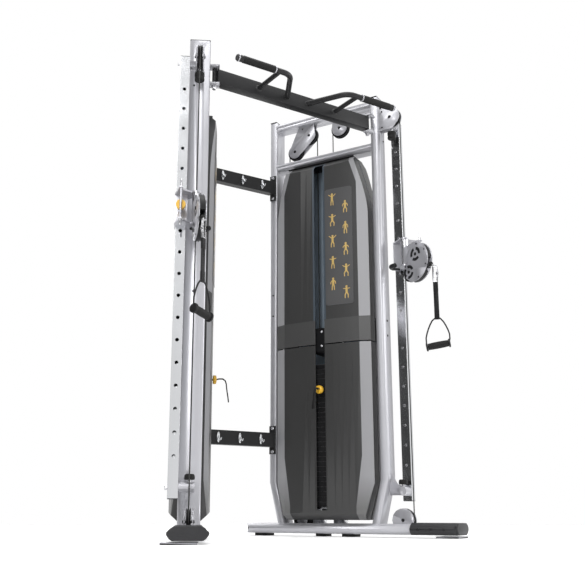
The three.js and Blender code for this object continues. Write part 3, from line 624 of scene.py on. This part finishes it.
def tube(bm, path, radius, segments=14):
    """A round bar swept along a smooth path of points."""
    points = [Vector(p) for p in path]
    ahead = (points[1] - points[0]).normalized()
    across = ahead.orthogonal().normalized()
    rings = []
    for i, point in enumerate(points):
        before = points[max(i - 1, 0)]
        after = points[min(i + 1, len(points) - 1)]
        ahead = (after - before).normalized()
        across = (across - ahead * across.dot(ahead)).normalized()
        upward = ahead.cross(across)
        turns = [2 * math.pi * k / segments for k in range(segments)]
        rings.append([point + (across * math.cos(a) + upward * math.sin(a)) * radius for a in turns])
    skin(bm, rings)


def block(bm, low, high, edge=1.5):
    """A box with rounded edges."""
    size = Vector(high) - Vector(low)
    middle = (Vector(high) + Vector(low)) / 2
    place = Matrix.Translation(middle) @ Matrix.Diagonal((*size, 1))
    made = bmesh.ops.create_cube(bm, size=1, matrix=place)
    edges = {e for v in made["verts"] for e in v.link_edges}
    bmesh.ops.bevel(bm, geom=list(edges), offset=edge, segments=2, profile=0.6, affect="EDGES")


def plate(bm, outline, normal, thickness, edge=0.6):
    """A flat plate: its outline in order round the face, raised along the normal."""
    face = bm.faces.new([bm.verts.new(p) for p in outline])
    raised = bmesh.ops.extrude_face_region(bm, geom=[face])
    verts = [v for v in raised["geom"] if isinstance(v, bmesh.types.BMVert)]
    bmesh.ops.translate(bm, verts=verts, vec=Vector(normal).normalized() * thickness)
    rim = {e for v in verts for e in v.link_edges if all(end in verts for end in e.verts)}
    if edge:
        bmesh.ops.bevel(bm, geom=list(rim), offset=edge, segments=2, profile=0.6, affect="EDGES")


def hex_bolt(bm, at, direction, across, height):
    """A hexagon bolt head with a chamfered top, on a washer."""
    axis = Vector(direction).normalized()
    rim = across * 0.72
    corner = across * 0.577
    lathe(bm, at, axis, [(0, 0), (0, rim), (1.2, rim), (1.6, rim - 0.6), (1.6, 0)], 24)
    lathe(bm, Vector(at) + axis * 1.6, axis, [
        (0, 0), (0, corner), (height * 0.8, corner),
        (height, across * 0.48), (height, 0),
    ], 6)


def button_bolt(bm, at, direction, radius, height):
    """A low domed screw head with a socket."""
    lathe(bm, at, direction, [
        (0, 0), (0, radius), (height * 0.45, radius * 0.94), (height * 0.85, radius * 0.66),
        (height, radius * 0.42), (height, radius * 0.36), (height * 0.35, radius * 0.34),
        (height * 0.35, 0),
    ], 28)


def button_pair(bm, forward, half, height, radius, tall):
    """Screw heads on both side faces, a distance half from the middle plane."""
    for way in (-1, 1):
        button_bolt(bm, (forward, way * half, height), (0, way, 0), radius, tall)


# ---- carried-over parts ----

def tower_axes(point, side):
    """A point of the machine, in metres, as millimetres along a tower's axes."""
    flat = Vector((point.x * side / MM, point.y / MM, 0)) - TOWER_ORIGIN
    return flat.dot(FORWARD), flat.dot(OUTWARD), point.z / MM


def arm_axes(point, side):
    """A point of the machine, in metres, as millimetres along an arm's axes."""
    return in_arm(side).inverted() @ point


def dress(node, materials, choose=None, degrees=32):
    """Stands a smooth-shaded copy in for a CAD node, with a material chosen for each face."""
    source = frame["nodes"][node]
    body = source["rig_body"]
    mesh = source.data.copy()
    mesh.name = node + "_surface"
    bm = bmesh.new()
    bm.from_mesh(mesh)
    bmesh.ops.remove_doubles(bm, verts=bm.verts, dist=1e-6)
    bm.to_mesh(mesh)
    bm.free()
    mesh.materials.clear()
    for material in materials:
        mesh.materials.append(material)
    made = bpy.data.objects.new(node + "_surface", mesh)
    bpy.context.scene.collection.objects.link(made)
    for polygon in mesh.polygons:
        polygon.material_index = choose(polygon.center) if choose else 0
    smooth(made, degrees)
    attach(made, body)
    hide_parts(node)
    return made


def paint(node, material):
    """Gives a CAD node whose shape is right a better material."""
    mesh = frame["nodes"][node].data
    mesh.materials.clear()
    mesh.materials.append(material)


def dress_towers(name):
    """Frame, covers, foot, upright, cables, guide rods and weight plates."""
    def frame_face(centre):
        return 1 if centre.z < 0.0155 else 0

    def foot_face(centre):
        return 1 if centre.z < 0.004 else 0

    dress(f"tower_frame_{name}", [silver, rubber], frame_face)
    for cover in ("upper_cover", "lower_cover", "rear_cover"):
        dress(f"{cover}_{name}", [cover_sheet], None, 24)
    dress(f"toe_cover_{name}", [charcoal])
    dress(f"foot_plate_{name}", [silver_plate, rubber], foot_face)
    dress(f"guide_column_{name}", [chrome])
    dress(f"cable_{name}", [cable_jacket], None, 60)
    fall = dress(f"cable_fall_{name}", [cable_jacket], None, 60)
    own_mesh(fall)
    dress(f"guide_rods_{name}", [chrome])
    for stack in ("resting_plates", "lifted_plates"):
        dress(f"{stack}_{name}", [plate_paint])


def dress_moving(name, side):
    """Moving parts of several materials; each function picks a face's by where the face is."""
    def head_face(centre):
        forward, _, height = tower_axes(centre, side)
        return 1 if abs(forward - COVER_MIDDLE) < 13 and height < 857 else 0

    def pin_face(centre):
        _, outward, _ = tower_axes(centre, side)
        return 0 if outward < -97 else 1

    def carriage_face(centre):
        forward, outward, height = tower_axes(centre, side)
        if height < 1372 and forward < 935 and outward < 35:
            return 1
        return 2 if forward > 1019 and not 1374 < height < 1527 else 0

    def pop_face(centre):
        forward, _, _ = tower_axes(centre, side)
        return 0 if forward > 989.5 else 1

    def arm_face(centre):
        forward, sideways, _ = arm_axes(centre, side)
        return 1 if math.hypot(forward, sideways) < 21 and forward < 20.5 else 0

    def handle_face(centre):
        place = arm_axes(centre, side)
        if (place - Vector(ARM_BALL)).length < BALL_REACH:
            return 1
        if place.z > STRAP_TOP - 2:
            return 0
        return 2 if place.z > STRAP_BOTTOM + 3 else 3

    dress(f"stack_head_{name}", [black_coat, steel], head_face)
    dress(f"selector_pin_{name}", [yellow, steel], pin_face)
    dress(f"carriage_{name}", [silver_plate, black_coat, steel], carriage_face, 12)
    dress(f"pop_pin_{name}", [yellow, steel], pop_face)
    dress(f"pulley_arm_{name}", [silver_plate, steel], arm_face)
    dress(f"handle_strap_{name}", [clip_steel, rubber, webbing, black_coat], handle_face)


# ---- pulleys ----

PULLEYS = {
    "head_pulley": (913, 2235, 52), "rail_pulley_front": (605, 2243, 50),
    "rail_pulley_rear_upper": (410, 2243, 45), "rail_pulley_rear_lower": (316.7, 2161, 45),
    "base_rear_pulley": (350, 82, 52), "base_pulley": (913, 82, 52),
    "floating_pulley": (505, 1030, 50),
}
ARM_PULLEYS = {"arm_pulley_upper": (99, -37, 43), "arm_pulley_lower": (45, -122, 45)}


def sheave(bm, centre, pitch, half):
    """A grooved pulley with a raised rim, a dished web and a hub."""
    rim = pitch + 4.6
    right = [
        (half - 1.6, rim), (half, rim - 1.4), (half, rim - 7), (half - 4, rim - 9.5),
        (half - 5, 19), (half - 1, 16), (half, 14), (half, 7.2),
    ]
    groove = [(pitch - 2.9, 0), (pitch - 2.0, 2.6), (pitch + 1.2, half - 4)]
    profile = [(-along, radius) for along, radius in reversed(right)]
    profile += [(-along, radius) for radius, along in reversed(groove)]
    profile += [(along, radius) for radius, along in groove[1:]]
    profile += right
    lathe(bm, centre, (0, 1, 0), profile + [profile[0]], 56)


def make_pulleys(name, side):
    """Stands a turned pulley in for every pulley node of one side."""
    for pulleys, half, place in ((PULLEYS, 10, in_tower), (ARM_PULLEYS, 9.5, in_arm)):
        for label, (forward, height, pitch) in pulleys.items():
            node = f"{label}_{name}"
            made = piece(f"{node}_sheave", frame["nodes"][node]["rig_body"], nylon, place(side),
                         lambda bm: sheave(bm, (forward, 0, height), pitch, half))
            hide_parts(node)


# ---- fittings ----

def post_caps(bm):
    """A flat cap on each post, with its plug."""
    for rear in (POST_REAR, POST_FRONT - POST_DEPTH):
        front = rear + POST_DEPTH
        block(bm, (rear + 0.5, -49.5, POST_TOP + 0.2), (front - 0.5, 49.5, POST_TOP + 4), 1.4)
        block(bm, (rear + 4, -46, POST_TOP - 16), (front - 4, 46, POST_TOP + 1), 2)


def column_plugs(bm):
    """End plugs of the upright."""
    gap, thickness = 0.3, 3.3
    for low in (173.5, 2220.2):
        block(bm, (COLUMN_BACK + gap, COLUMN_INNER + gap, low),
              (COLUMN_FRONT - gap, COLUMN_OUTER - gap, low + thickness), 1.2)


def column_marks(bm):
    """Round position marks on the column's inner face, level with the holes."""
    for i in range(HOLE_COUNT):
        height = FIRST_HOLE - HOLE_PITCH * i
        lathe(bm, (COLUMN_MIDDLE, COLUMN_INNER, height), (0, -1, 0),
              [(-0.3, 0), (-0.3, 7), (0.3, 7), (0.5, 6.4), (0.3, 5.2), (0.15, 0)], 24)


def bumpers(bm):
    """Ribbed rubber bumpers above and below the carriage's travel."""
    lathe(bm, (915, 0, 2105), (0, 0, 1), [
        (0, 0), (0, 17), (4, 22.5), (12, 23.5), (20, 21.5), (28, 23.5), (40, 23.5), (45, 20), (45, 0),
    ])
    lathe(bm, (913, 0, 254), (0, 0, 1), [
        (0, 0), (0, 20), (3, 22.5), (10, 22.5), (19, 21.5), (24, 17), (24, 0),
    ])


def bumper_studs(bm):
    """The threaded studs that the bumpers are screwed on."""
    rod(bm, (915, 0, 2148), (915, 0, 2166), 8)
    rod(bm, (913, 0, 236), (913, 0, 256), 8)


def bracket_bolts(bm):
    """Screw heads at the ends of pulley axles and in the brackets."""
    for node, (forward, height, _) in PULLEYS.items():
        if node not in ("floating_pulley", "base_rear_pulley"):
            button_pair(bm, forward, 20, height, 8.5, 6)
    for forward, height in ((368, 2290), (628, 2296), (582, 2296), (868, 2180), (868, 2275)):
        button_pair(bm, forward, 20, height, 4.5, 3)


def clamp_bolts(bm):
    """The bolts that clamp the upright's ends to the frame."""
    for height in (222, 2188):
        hex_bolt(bm, (914, COLUMN_OUTER, height), (0, 1, 0), 19, 11)


def post_screws(bm):
    """Small screws in the faces of the posts."""
    for height in (1094, 1015):
        button_bolt(bm, (POST_FRONT, 4, height), (1, 0, 0), 6, 3.5)
    button_bolt(bm, (POST_FRONT, 26, 2118), (1, 0, 0), 5, 3)
    for height in (1304, 1185):
        button_bolt(bm, (POST_REAR_LINE, -50, height), (0, -1, 0), 5, 3)


def rail_welds(bm):
    """Weld beads where the two rails meet the posts."""
    quarter = math.pi / 2
    for height in RAIL_HEIGHTS:
        for forward, way in ((POST_REAR + POST_DEPTH, 1), (POST_FRONT - POST_DEPTH, -1)):
            oval = arc((26, height), 25, -quarter, quarter, 8)
            oval += arc((-26, height), 25, quarter, 3 * quarter, 8)
            plate(bm, [(forward, m, z) for m, z in oval], (way, 0, 0), 3.5, 1.6)


def slot_liner(bm):
    """A sheet behind the slot, bent like a shallow channel, on the far side of the weights."""
    rows = (130, 700, 1100, 1500, 2031)
    thickness = 1.5
    columns = ((300, 50), (322, 51), (420, 52), (500, 52), (590, 52), (688, 51), (710, 50))
    skin(bm, [
        [(u, m, z) for z in rows] + [(u, m + thickness, z) for z in reversed(rows)]
        for u, m in columns
    ])


def slot_lid(bm):
    """A dark lid under the top of the covers, which the guide rods and the cable pass through."""
    block(bm, (300, -68, 2029), (710, 54, 2033), 1)


def block_bolts(bm):
    """Two screws in the face of the block on top of the stack."""
    for height in (1058, 981):
        button_bolt(bm, (COVER_MIDDLE, BLOCK_FACE, height), (0, -1, 0), 7, 4)


def lanyard(bm):
    """A moulded strap that hangs from the selector knob."""
    path = [
        (0, -112, 0), (0, -128, 4), (1, -146, 4), (2, -158, -5), (2, -163, -21),
        (1, -165, -41), (0, -168, -61), (0, -172, -85), (0, -175, -108),
    ]
    centre = [Vector((COVER_MIDDLE + u, m, PIN_HEIGHT + z)) for u, m, z in path]
    sideways = Vector((1, 0, 0))
    rings = []
    for i, point in enumerate(centre):
        ahead = (centre[min(i + 1, len(centre) - 1)] - centre[max(i - 1, 0)]).normalized()
        out = sideways.cross(ahead).normalized()
        half = 8.0 if i < len(centre) - 2 else 10.0
        section = [(-half, -1.0), (-half + 1.5, -2.6), (half - 1.5, -2.6), (half, -1.0)]
        section += [(-a, -b) for a, b in section]
        rings.append([point + sideways * a + out * b for a, b in section])
    skin(bm, rings)


def selector_knob(bm):
    """The round knob of the selector pin."""
    lathe(bm, (COVER_MIDDLE, -97.5, PIN_HEIGHT), (0, -1, 0), [
        (0, 0), (0, 14), (2, 19), (6, 21.4), (11, 21.4), (15, 19), (18, 13), (19, 7), (19, 0),
    ])


def base_caps(bm):
    """A moulded sleeve cap on the front end of the base tube and a small plug in the rear end."""
    front = (BASE_FRONT - 6.4, 1, 48.5, 64, 10, 14.4, 70)
    rear = (25, -1, 16, 0, 3.4, 15, 64)
    steps = 12
    for forward, way, half, bulge, depth, low, high in (front, rear):
        outline = []
        for side in (1, -1):
            for step in range(steps + 1):
                t = step / steps
                reach = half + 2 * bulge * (1 - t) * t
                height = low + (high - low) * (t if side > 0 else 1 - t)
                outline.append((forward, side * reach, height))
        plate(bm, outline, (way, 0, 0), depth, 1.4)


def toe_bolts(bm):
    """Three screws in each edge of the toe sleeve."""
    for forward in (1010, 1075, 1140):
        button_pair(bm, forward, TOE_HALF, 40, 7, 3)


def cover_depth(forward):
    """How far the cover's inner face stands from the middle plane at a forward position."""
    return 95 - 13 * ((forward - COVER_MIDDLE) / 225) ** 2


def on_placard(forward, height, proud=0.0):
    """A point on the placard's bent surface, or standing proud of it."""
    return Vector((forward, -cover_depth(forward) - 0.6 - proud, height))


def placard(bm):
    """A thin board bent to the cover, with its corners cut."""
    corner, steps = 8, 14
    rings = []
    for i in range(steps + 1):
        forward = PLACARD_LEFT + (PLACARD_RIGHT - PLACARD_LEFT) * i / steps
        inset = 0 if 0 < i < steps else corner
        low, high = PLACARD_LOW + inset, PLACARD_HIGH - inset
        rings.append([
            on_placard(forward, z, proud)
            for z, proud in ((low, 0), (low, BOARD_THICK), (high, BOARD_THICK), (high, 0))
        ])
    skin(bm, rings)


def flat_stroke(bm, start, end, width):
    """A raised stroke of a pictogram, with rounded ends."""
    (u0, z0), (u1, z1) = start, end
    along = Vector((u1 - u0, 0, z1 - z0)).normalized()
    across = Vector((-along.z, 0, along.x)) * width / 2
    outline = []
    for centre_u, centre_z, sign in ((u1, z1, 1), (u0, z0, -1)):
        for k in (-1, -0.5, 0, 0.5, 1):
            angle = k * math.pi / 2
            point = along * math.cos(angle) * sign * width / 2 + across * math.sin(angle) * sign
            outline.append(on_placard(centre_u + point.x, centre_z + point.z, PRINT_LIFT))
    plate(bm, outline, (0, -1, 0), PRINT_THICK, 0)


def pictogram(bm, forward, height, arm, leg):
    """A generic standing figure with its arms out, about 70 mm tall."""
    around = arc((forward, height + 29), 6, 0, 2 * math.pi, 14)[:-1]
    plate(bm, [on_placard(u, z, PRINT_LIFT) for u, z in around], (0, -1, 0), PRINT_THICK, 0)
    flat_stroke(bm, (forward, height - 4), (forward, height + 19), 12)
    for way in (-1, 1):
        knee = (forward + way * (5 + leg), height - 18)
        flat_stroke(bm, (forward + way * 3, height - 4), knee, 6)
        flat_stroke(bm, knee, (forward + way * (6 + leg * 0.6), height - 33), 5)
        elbow = (forward + way * 13, height + 16 + arm * 0.45)
        flat_stroke(bm, (forward + way * 5, height + 18), elbow, 5)
        flat_stroke(bm, elbow, (forward + way * (17 + arm * 0.2), height + 14 + arm), 4)


def placard_figures(bm):
    """Ten figures in two columns; the second column stands a little lower."""
    column_step, row_step, drop = 76, 120, 52
    poses = [(14, 1), (-12, 4), (10, 6), (-16, 2), (16, 3), (-8, 5), (6, 2), (12, 6), (-14, 1), (4, 4)]
    for i, (arm, leg) in enumerate(poses):
        column = i % 2
        forward = 590 + column_step * column
        height = 1788 - row_step * (i // 2) - drop * column
        pictogram(bm, forward, height, arm, leg)


def arm_lead(bm):
    """The cable from the swivel axis round the lower pulley to the ball stop."""
    forward, height, pitch = ARM_PULLEYS["arm_pulley_lower"]
    path = [(0, 0, height + 40), (0, 0, height + 20)]
    wrapped = arc((forward, height), pitch, math.pi, math.radians(291.4), 22)
    path += [(x, 0, z) for x, z in wrapped]
    path += [(96, 0, -150.4), (130, 0, -137.3), (164, 0, -124.2), (186, 0, -115.7)]
    tube(bm, path, 3.0, 12)


def arm_bolts(bm):
    """Screws of the arm's two pulley axles and round its rim."""
    for forward, height, _ in ARM_PULLEYS.values():
        button_pair(bm, forward, ARM_FACE, height, 9, 5)
    for angle in (-70, -20, 30, 75):
        turn = math.radians(angle)
        forward = ARM_CENTRE[0] + 94 * math.cos(turn)
        height = ARM_CENTRE[1] + 94 * math.sin(turn)
        button_pair(bm, forward, ARM_FACE, height, 4.5, 2.5)


def arm_window_shade(bm):
    """Dark plates that close the round windows of both plates: painted shade, standing in for the black
    sheave and the shade seen through the windows.
    """
    for node, start in (("arm_pulley_upper", 0.6), ("arm_pulley_lower", 1.1)):
        forward, height, _ = ARM_PULLEYS[node]
        for i in range(3):
            middle = start + i * 2 * math.pi / 3
            window = arc((forward, height), 37, middle - 0.78, middle + 0.78, 10)
            window += arc((forward, height), 21, middle + 0.78, middle - 0.78, 10)
            for way in (-1, 1):
                face = way * (ARM_FACE - 0.4)
                plate(bm, [(x, face, z) for x, z in window], (0, way, 0), 0.9, 0.3)


def arm_spacer(bm):
    """Dark moulded spacers that close the rim between the arm's two plates."""
    section = ((86, -12.5), (101, -12.5), (102, 0), (101, 12.5), (86, 12.5))
    steps = 14
    for first, last in ((-104, -42), (2, 104)):
        rings = []
        for i in range(steps + 1):
            angle = math.radians(first + (last - first) * i / steps)
            rings.append([
                (ARM_CENTRE[0] + r * math.cos(angle), y, ARM_CENTRE[1] + r * math.sin(angle))
                for r, y in section
            ])
        skin(bm, rings)


def lift_knob(bm):
    """The moulded sleeve along the lift handle, with the rounded knob on its end."""
    height = 1369
    bends = [Vector((x, y, height)) for x, y in ((901, -6), (893, -34), (907, -58), (926, -55.5))]
    tube(bm, interpolate_bezier(*bends, 18), 11.2, 24)
    lathe(bm, (928, -56, height), (0.9, -0.35, 0), [
        (-4, 0), (-4, 11), (0, 12.4), (4, 12.6), (8, 10.8), (11, 6), (12, 0),
    ], 32)


def grip_moulding(bm):
    """A moulded grip with ribs at its ends and a slight swell in the middle."""
    half = 50
    profile = [(-half, 5.6), (-half, 15)]
    for i in range(41):
        along = -half + 1 + i * (2 * half - 2) / 40
        swell = 16.2 + 1.2 * math.cos(along / half * math.pi / 2)
        rib = 0.8 if abs(along) > 34 and i % 2 else 0.0
        profile.append((along, swell - rib))
    profile += [(half, 15), (half, 5.6), (-half, 5.6)]
    lathe(bm, (0, 0, GRIP_HEIGHT), (math.cos(GRIP_TILT), 0, math.sin(GRIP_TILT)), profile)


def grip_ends(bm):
    """The round flange at each end of the grip, which the bow is fixed to."""
    for way in (-1, 1):
        axis = (way * math.cos(GRIP_TILT), 0, way * math.sin(GRIP_TILT))
        lathe(bm, (0, 0, GRIP_HEIGHT), axis, [
            (50.5, 0), (50.5, 19.6), (52, 21.2), (57, 21.2), (59, 19), (60, 12), (60, 0)])


def strap_stitches(bm):
    """Two rows of stitches at each end of the strap, on both faces."""
    count, pitch, length = 8, 3.6, 2.4
    for face in (-3.0, 3.0):
        for base in (STRAP_TOP - 34, STRAP_BOTTOM + 12):
            for k in range(count):
                low = base + k * pitch
                for across in (-8, 8):
                    block(bm, (across - 0.5, face - 0.4, low),
                          (across + 0.5, face + 0.4, low + length), 0.15)


def strap_folds(bm):
    """The doubled webbing where the strap folds round the carabiner and the bow."""
    block(bm, (-12.4, -4.6, STRAP_TOP - 42), (12.4, 4.6, STRAP_TOP + 6), 1.6)
    block(bm, (-12.4, -4.6, STRAP_BOTTOM - 4), (12.4, 4.6, STRAP_BOTTOM + 44), 1.6)


def carabiner_gate(bm):
    """The carabiner's gate with its screwed sleeve."""
    rod(bm, (11, 0, -190), (11, 0, -150), 5.2, 20)
    lathe(bm, (11, 0, -176), (0, 0, 1), [
        (0, 0), (0, 6.6), (1, 7.2), (13, 7.2), (14, 6.6), (14, 0)], 24)


def pullup_grip(bm):
    """A ribbed rubber sleeve."""
    plain, ridge = 17.4, 18.2
    profile = [(0, 0), (0, plain)]
    for i in range(30):
        profile.append((1.5 + i * 5.9, ridge if i % 2 else plain))
    profile += [(175, plain), (177, 15.5), (177, 0)]
    lathe(bm, PULLUP_GRIP_START, (1, 0, 0), profile, 32)


def pullup_collars(bm):
    """The rings at the two ends of the sleeve."""
    x, y, z = PULLUP_GRIP_START
    for start in (-6, 198):
        lathe(bm, (x + start, y, z), (1, 0, 0), [
            (0, 0), (0, 17.6), (1, 18.6), (4.5, 18.6), (5.5, 17.6), (5.5, 0)], 32)


def pullup_beam(bm):
    """The beam, its upright end tubes and the two bent handles welded to its front."""
    front, height = BEAM_FRONT, BEAM_HEIGHT
    block(bm, (-467, front, height - 37.5), (467, front + 50, height + 37.5), 4)
    for way in (-1, 1):
        rod(bm, (way * 476, front + 25, height - 44), (way * 476, front + 25, height + 44), 11)
        bend = rounded_corner(
            (way * 59, front + 10, height), (way * 175, PULLUP_REACH, height),
            (way * 478, PULLUP_REACH, height), 70)
        tube(bm, bend, 14, 24)
        rod(bm, (way * 445, PULLUP_REACH, height), (way * 473, PULLUP_REACH, height), 16.5)
        rod(bm, (way * 236, front + 6, height), (way * 236, PULLUP_REACH, height), 12)
        lathe(bm, (way * 236, front, height), (0, -1, 0), [(0, 0), (0, 17), (2, 15), (4, 12.4), (4, 0)], 28)


def crossbar_hooks(bm):
    """Chrome hooks on the front face of the two crossbars, for spare handles."""
    around = arc((0, 0), 1, 0, 2 * math.pi, 24)[:-1]
    for bar in CROSSBARS:
        low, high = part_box(bar)
        face = low.y / MM
        height = (low.z + high.z) / 2 / MM
        for x in (-129, 0, 129):
            plate(bm, [(x + 9 * c, face, height + 27 * s) for c, s in around], (0, -1, 0), 3, 1)
            bends = ((2, 6), (10, 2), (16, -8), (22, -14), (30, -12), (33, -4))
            path = [(x, face - out, height + up) for out, up in bends]
            tube(bm, smooth_path(path, 5), 3.4, 12)
            for dz in (19, -19):
                button_bolt(bm, (x, face - 3, height + dz), (0, -1, 0), 3.2, 1.6)


def crossbar_bolts(bm):
    """Bolts above and below each crossbar, through its end plates into the posts."""
    for centre in (1946, 498):
        for offset in (-62, 62):
            hex_bolt(bm, (POST_REAR_LINE, -56, centre + offset), (0, -1, 0), 13, 8)


def beam_bolts(bm):
    """The nuts above and below the upright tube at each end of the pull-up beam."""
    for height, way, tall in ((2243.9, 1, 11), (2143.1, -1, 14)):
        hex_bolt(bm, (801, -71.4, height), (0, 0, way), 19, tall)


# A body, the axes that its fittings are built along, and for each fitting the function that
# builds it and gives it its name, its material and its smoothing angle in degrees.
FITTINGS = (
    ("frame", in_tower, (
        (post_caps, black_plastic, 32),
        (column_plugs, black_plastic, 32),
        (column_marks, steel, 32),
        (bumpers, rubber, 24),
        (bumper_studs, steel, 32),
        (bracket_bolts, black_coat, 32),
        (clamp_bolts, steel, 32),
        (post_screws, black_coat, 32),
        (rail_welds, silver, 50),
        (toe_bolts, black_coat, 32),
        (base_caps, charcoal, 32),
        (slot_liner, slate, 32),
        (slot_lid, black_plastic, 32),
        (placard, placard_print, 32),
        (placard_figures, gold, 32),
    )),
    ("stack", in_tower, ((block_bolts, steel, 32),)),
    ("selector_pin", in_tower, (
        (lanyard, rubber, 50),
        (selector_knob, yellow, 32),
    )),
    ("pulley_arm", in_arm, (
        (arm_lead, cable_jacket, 60),
        (arm_bolts, black_coat, 32),
        # Dark plates closing the arm's windows: painted shade for the view through them.
        (arm_window_shade, nylon, 32),
        (arm_spacer, black_plastic, 40),
    )),
    ("carriage", in_tower, ((lift_knob, black_plastic, 40),)),
    ("handle_grip", on_handle, ((grip_moulding, grip_rubber, 50),)),
    ("handle", on_handle, (
        (grip_ends, black_plastic, 40),
        (strap_folds, webbing, 32),
        (strap_stitches, stitch, 32),
        (carabiner_gate, clip_steel, 32),
    )),
)
SHARED_FITTINGS = (
    ("frame", in_machine, (
        (pullup_grip, grip_rubber, 32),
        (pullup_collars, silver, 32),
    )),
    ("frame", in_tower, (
        (crossbar_bolts, steel, 32),
        (beam_bolts, steel, 32),
    )),
)


def fit_all(table, name, side):
    """Makes one side's fittings. Each side has its own bodies, but they share the frame."""
    for kind, place, fittings in table:
        body = kind if kind == "frame" else f"{kind}_{name}"
        for build, material, degrees in fittings:
            made = piece(f"{build.__name__}_{name}", body, material, place(side), build, degrees)
            if build is grip_moulding:
                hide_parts(f"handle_grip_{name}")


def shared_fittings():
    """The two crossbars, the pull-up beam and what is on them."""
    for bar in CROSSBARS:
        paint(bar, beam_coat)
    for name, side in SIDES.items():
        fit_all(SHARED_FITTINGS, name, side)
    beam = piece("pullup_beam_surface", "frame", beam_coat, in_machine(), pullup_beam)
    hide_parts("pullup_beam")
    piece("crossbar_hooks", "frame", chrome, in_machine(), crossbar_hooks)


# ---- assembly ----

make_camera()
make_world()
make_lights()
make_floor()
for name, side in SIDES.items():
    dress_towers(name)
    dress_moving(name, side)
    make_pulleys(name, side)
    fit_all(FITTINGS, name, side)
shared_fittings()

bpy.context.scene.view_settings.view_transform = "Standard"
bpy.context.view_layer.update()
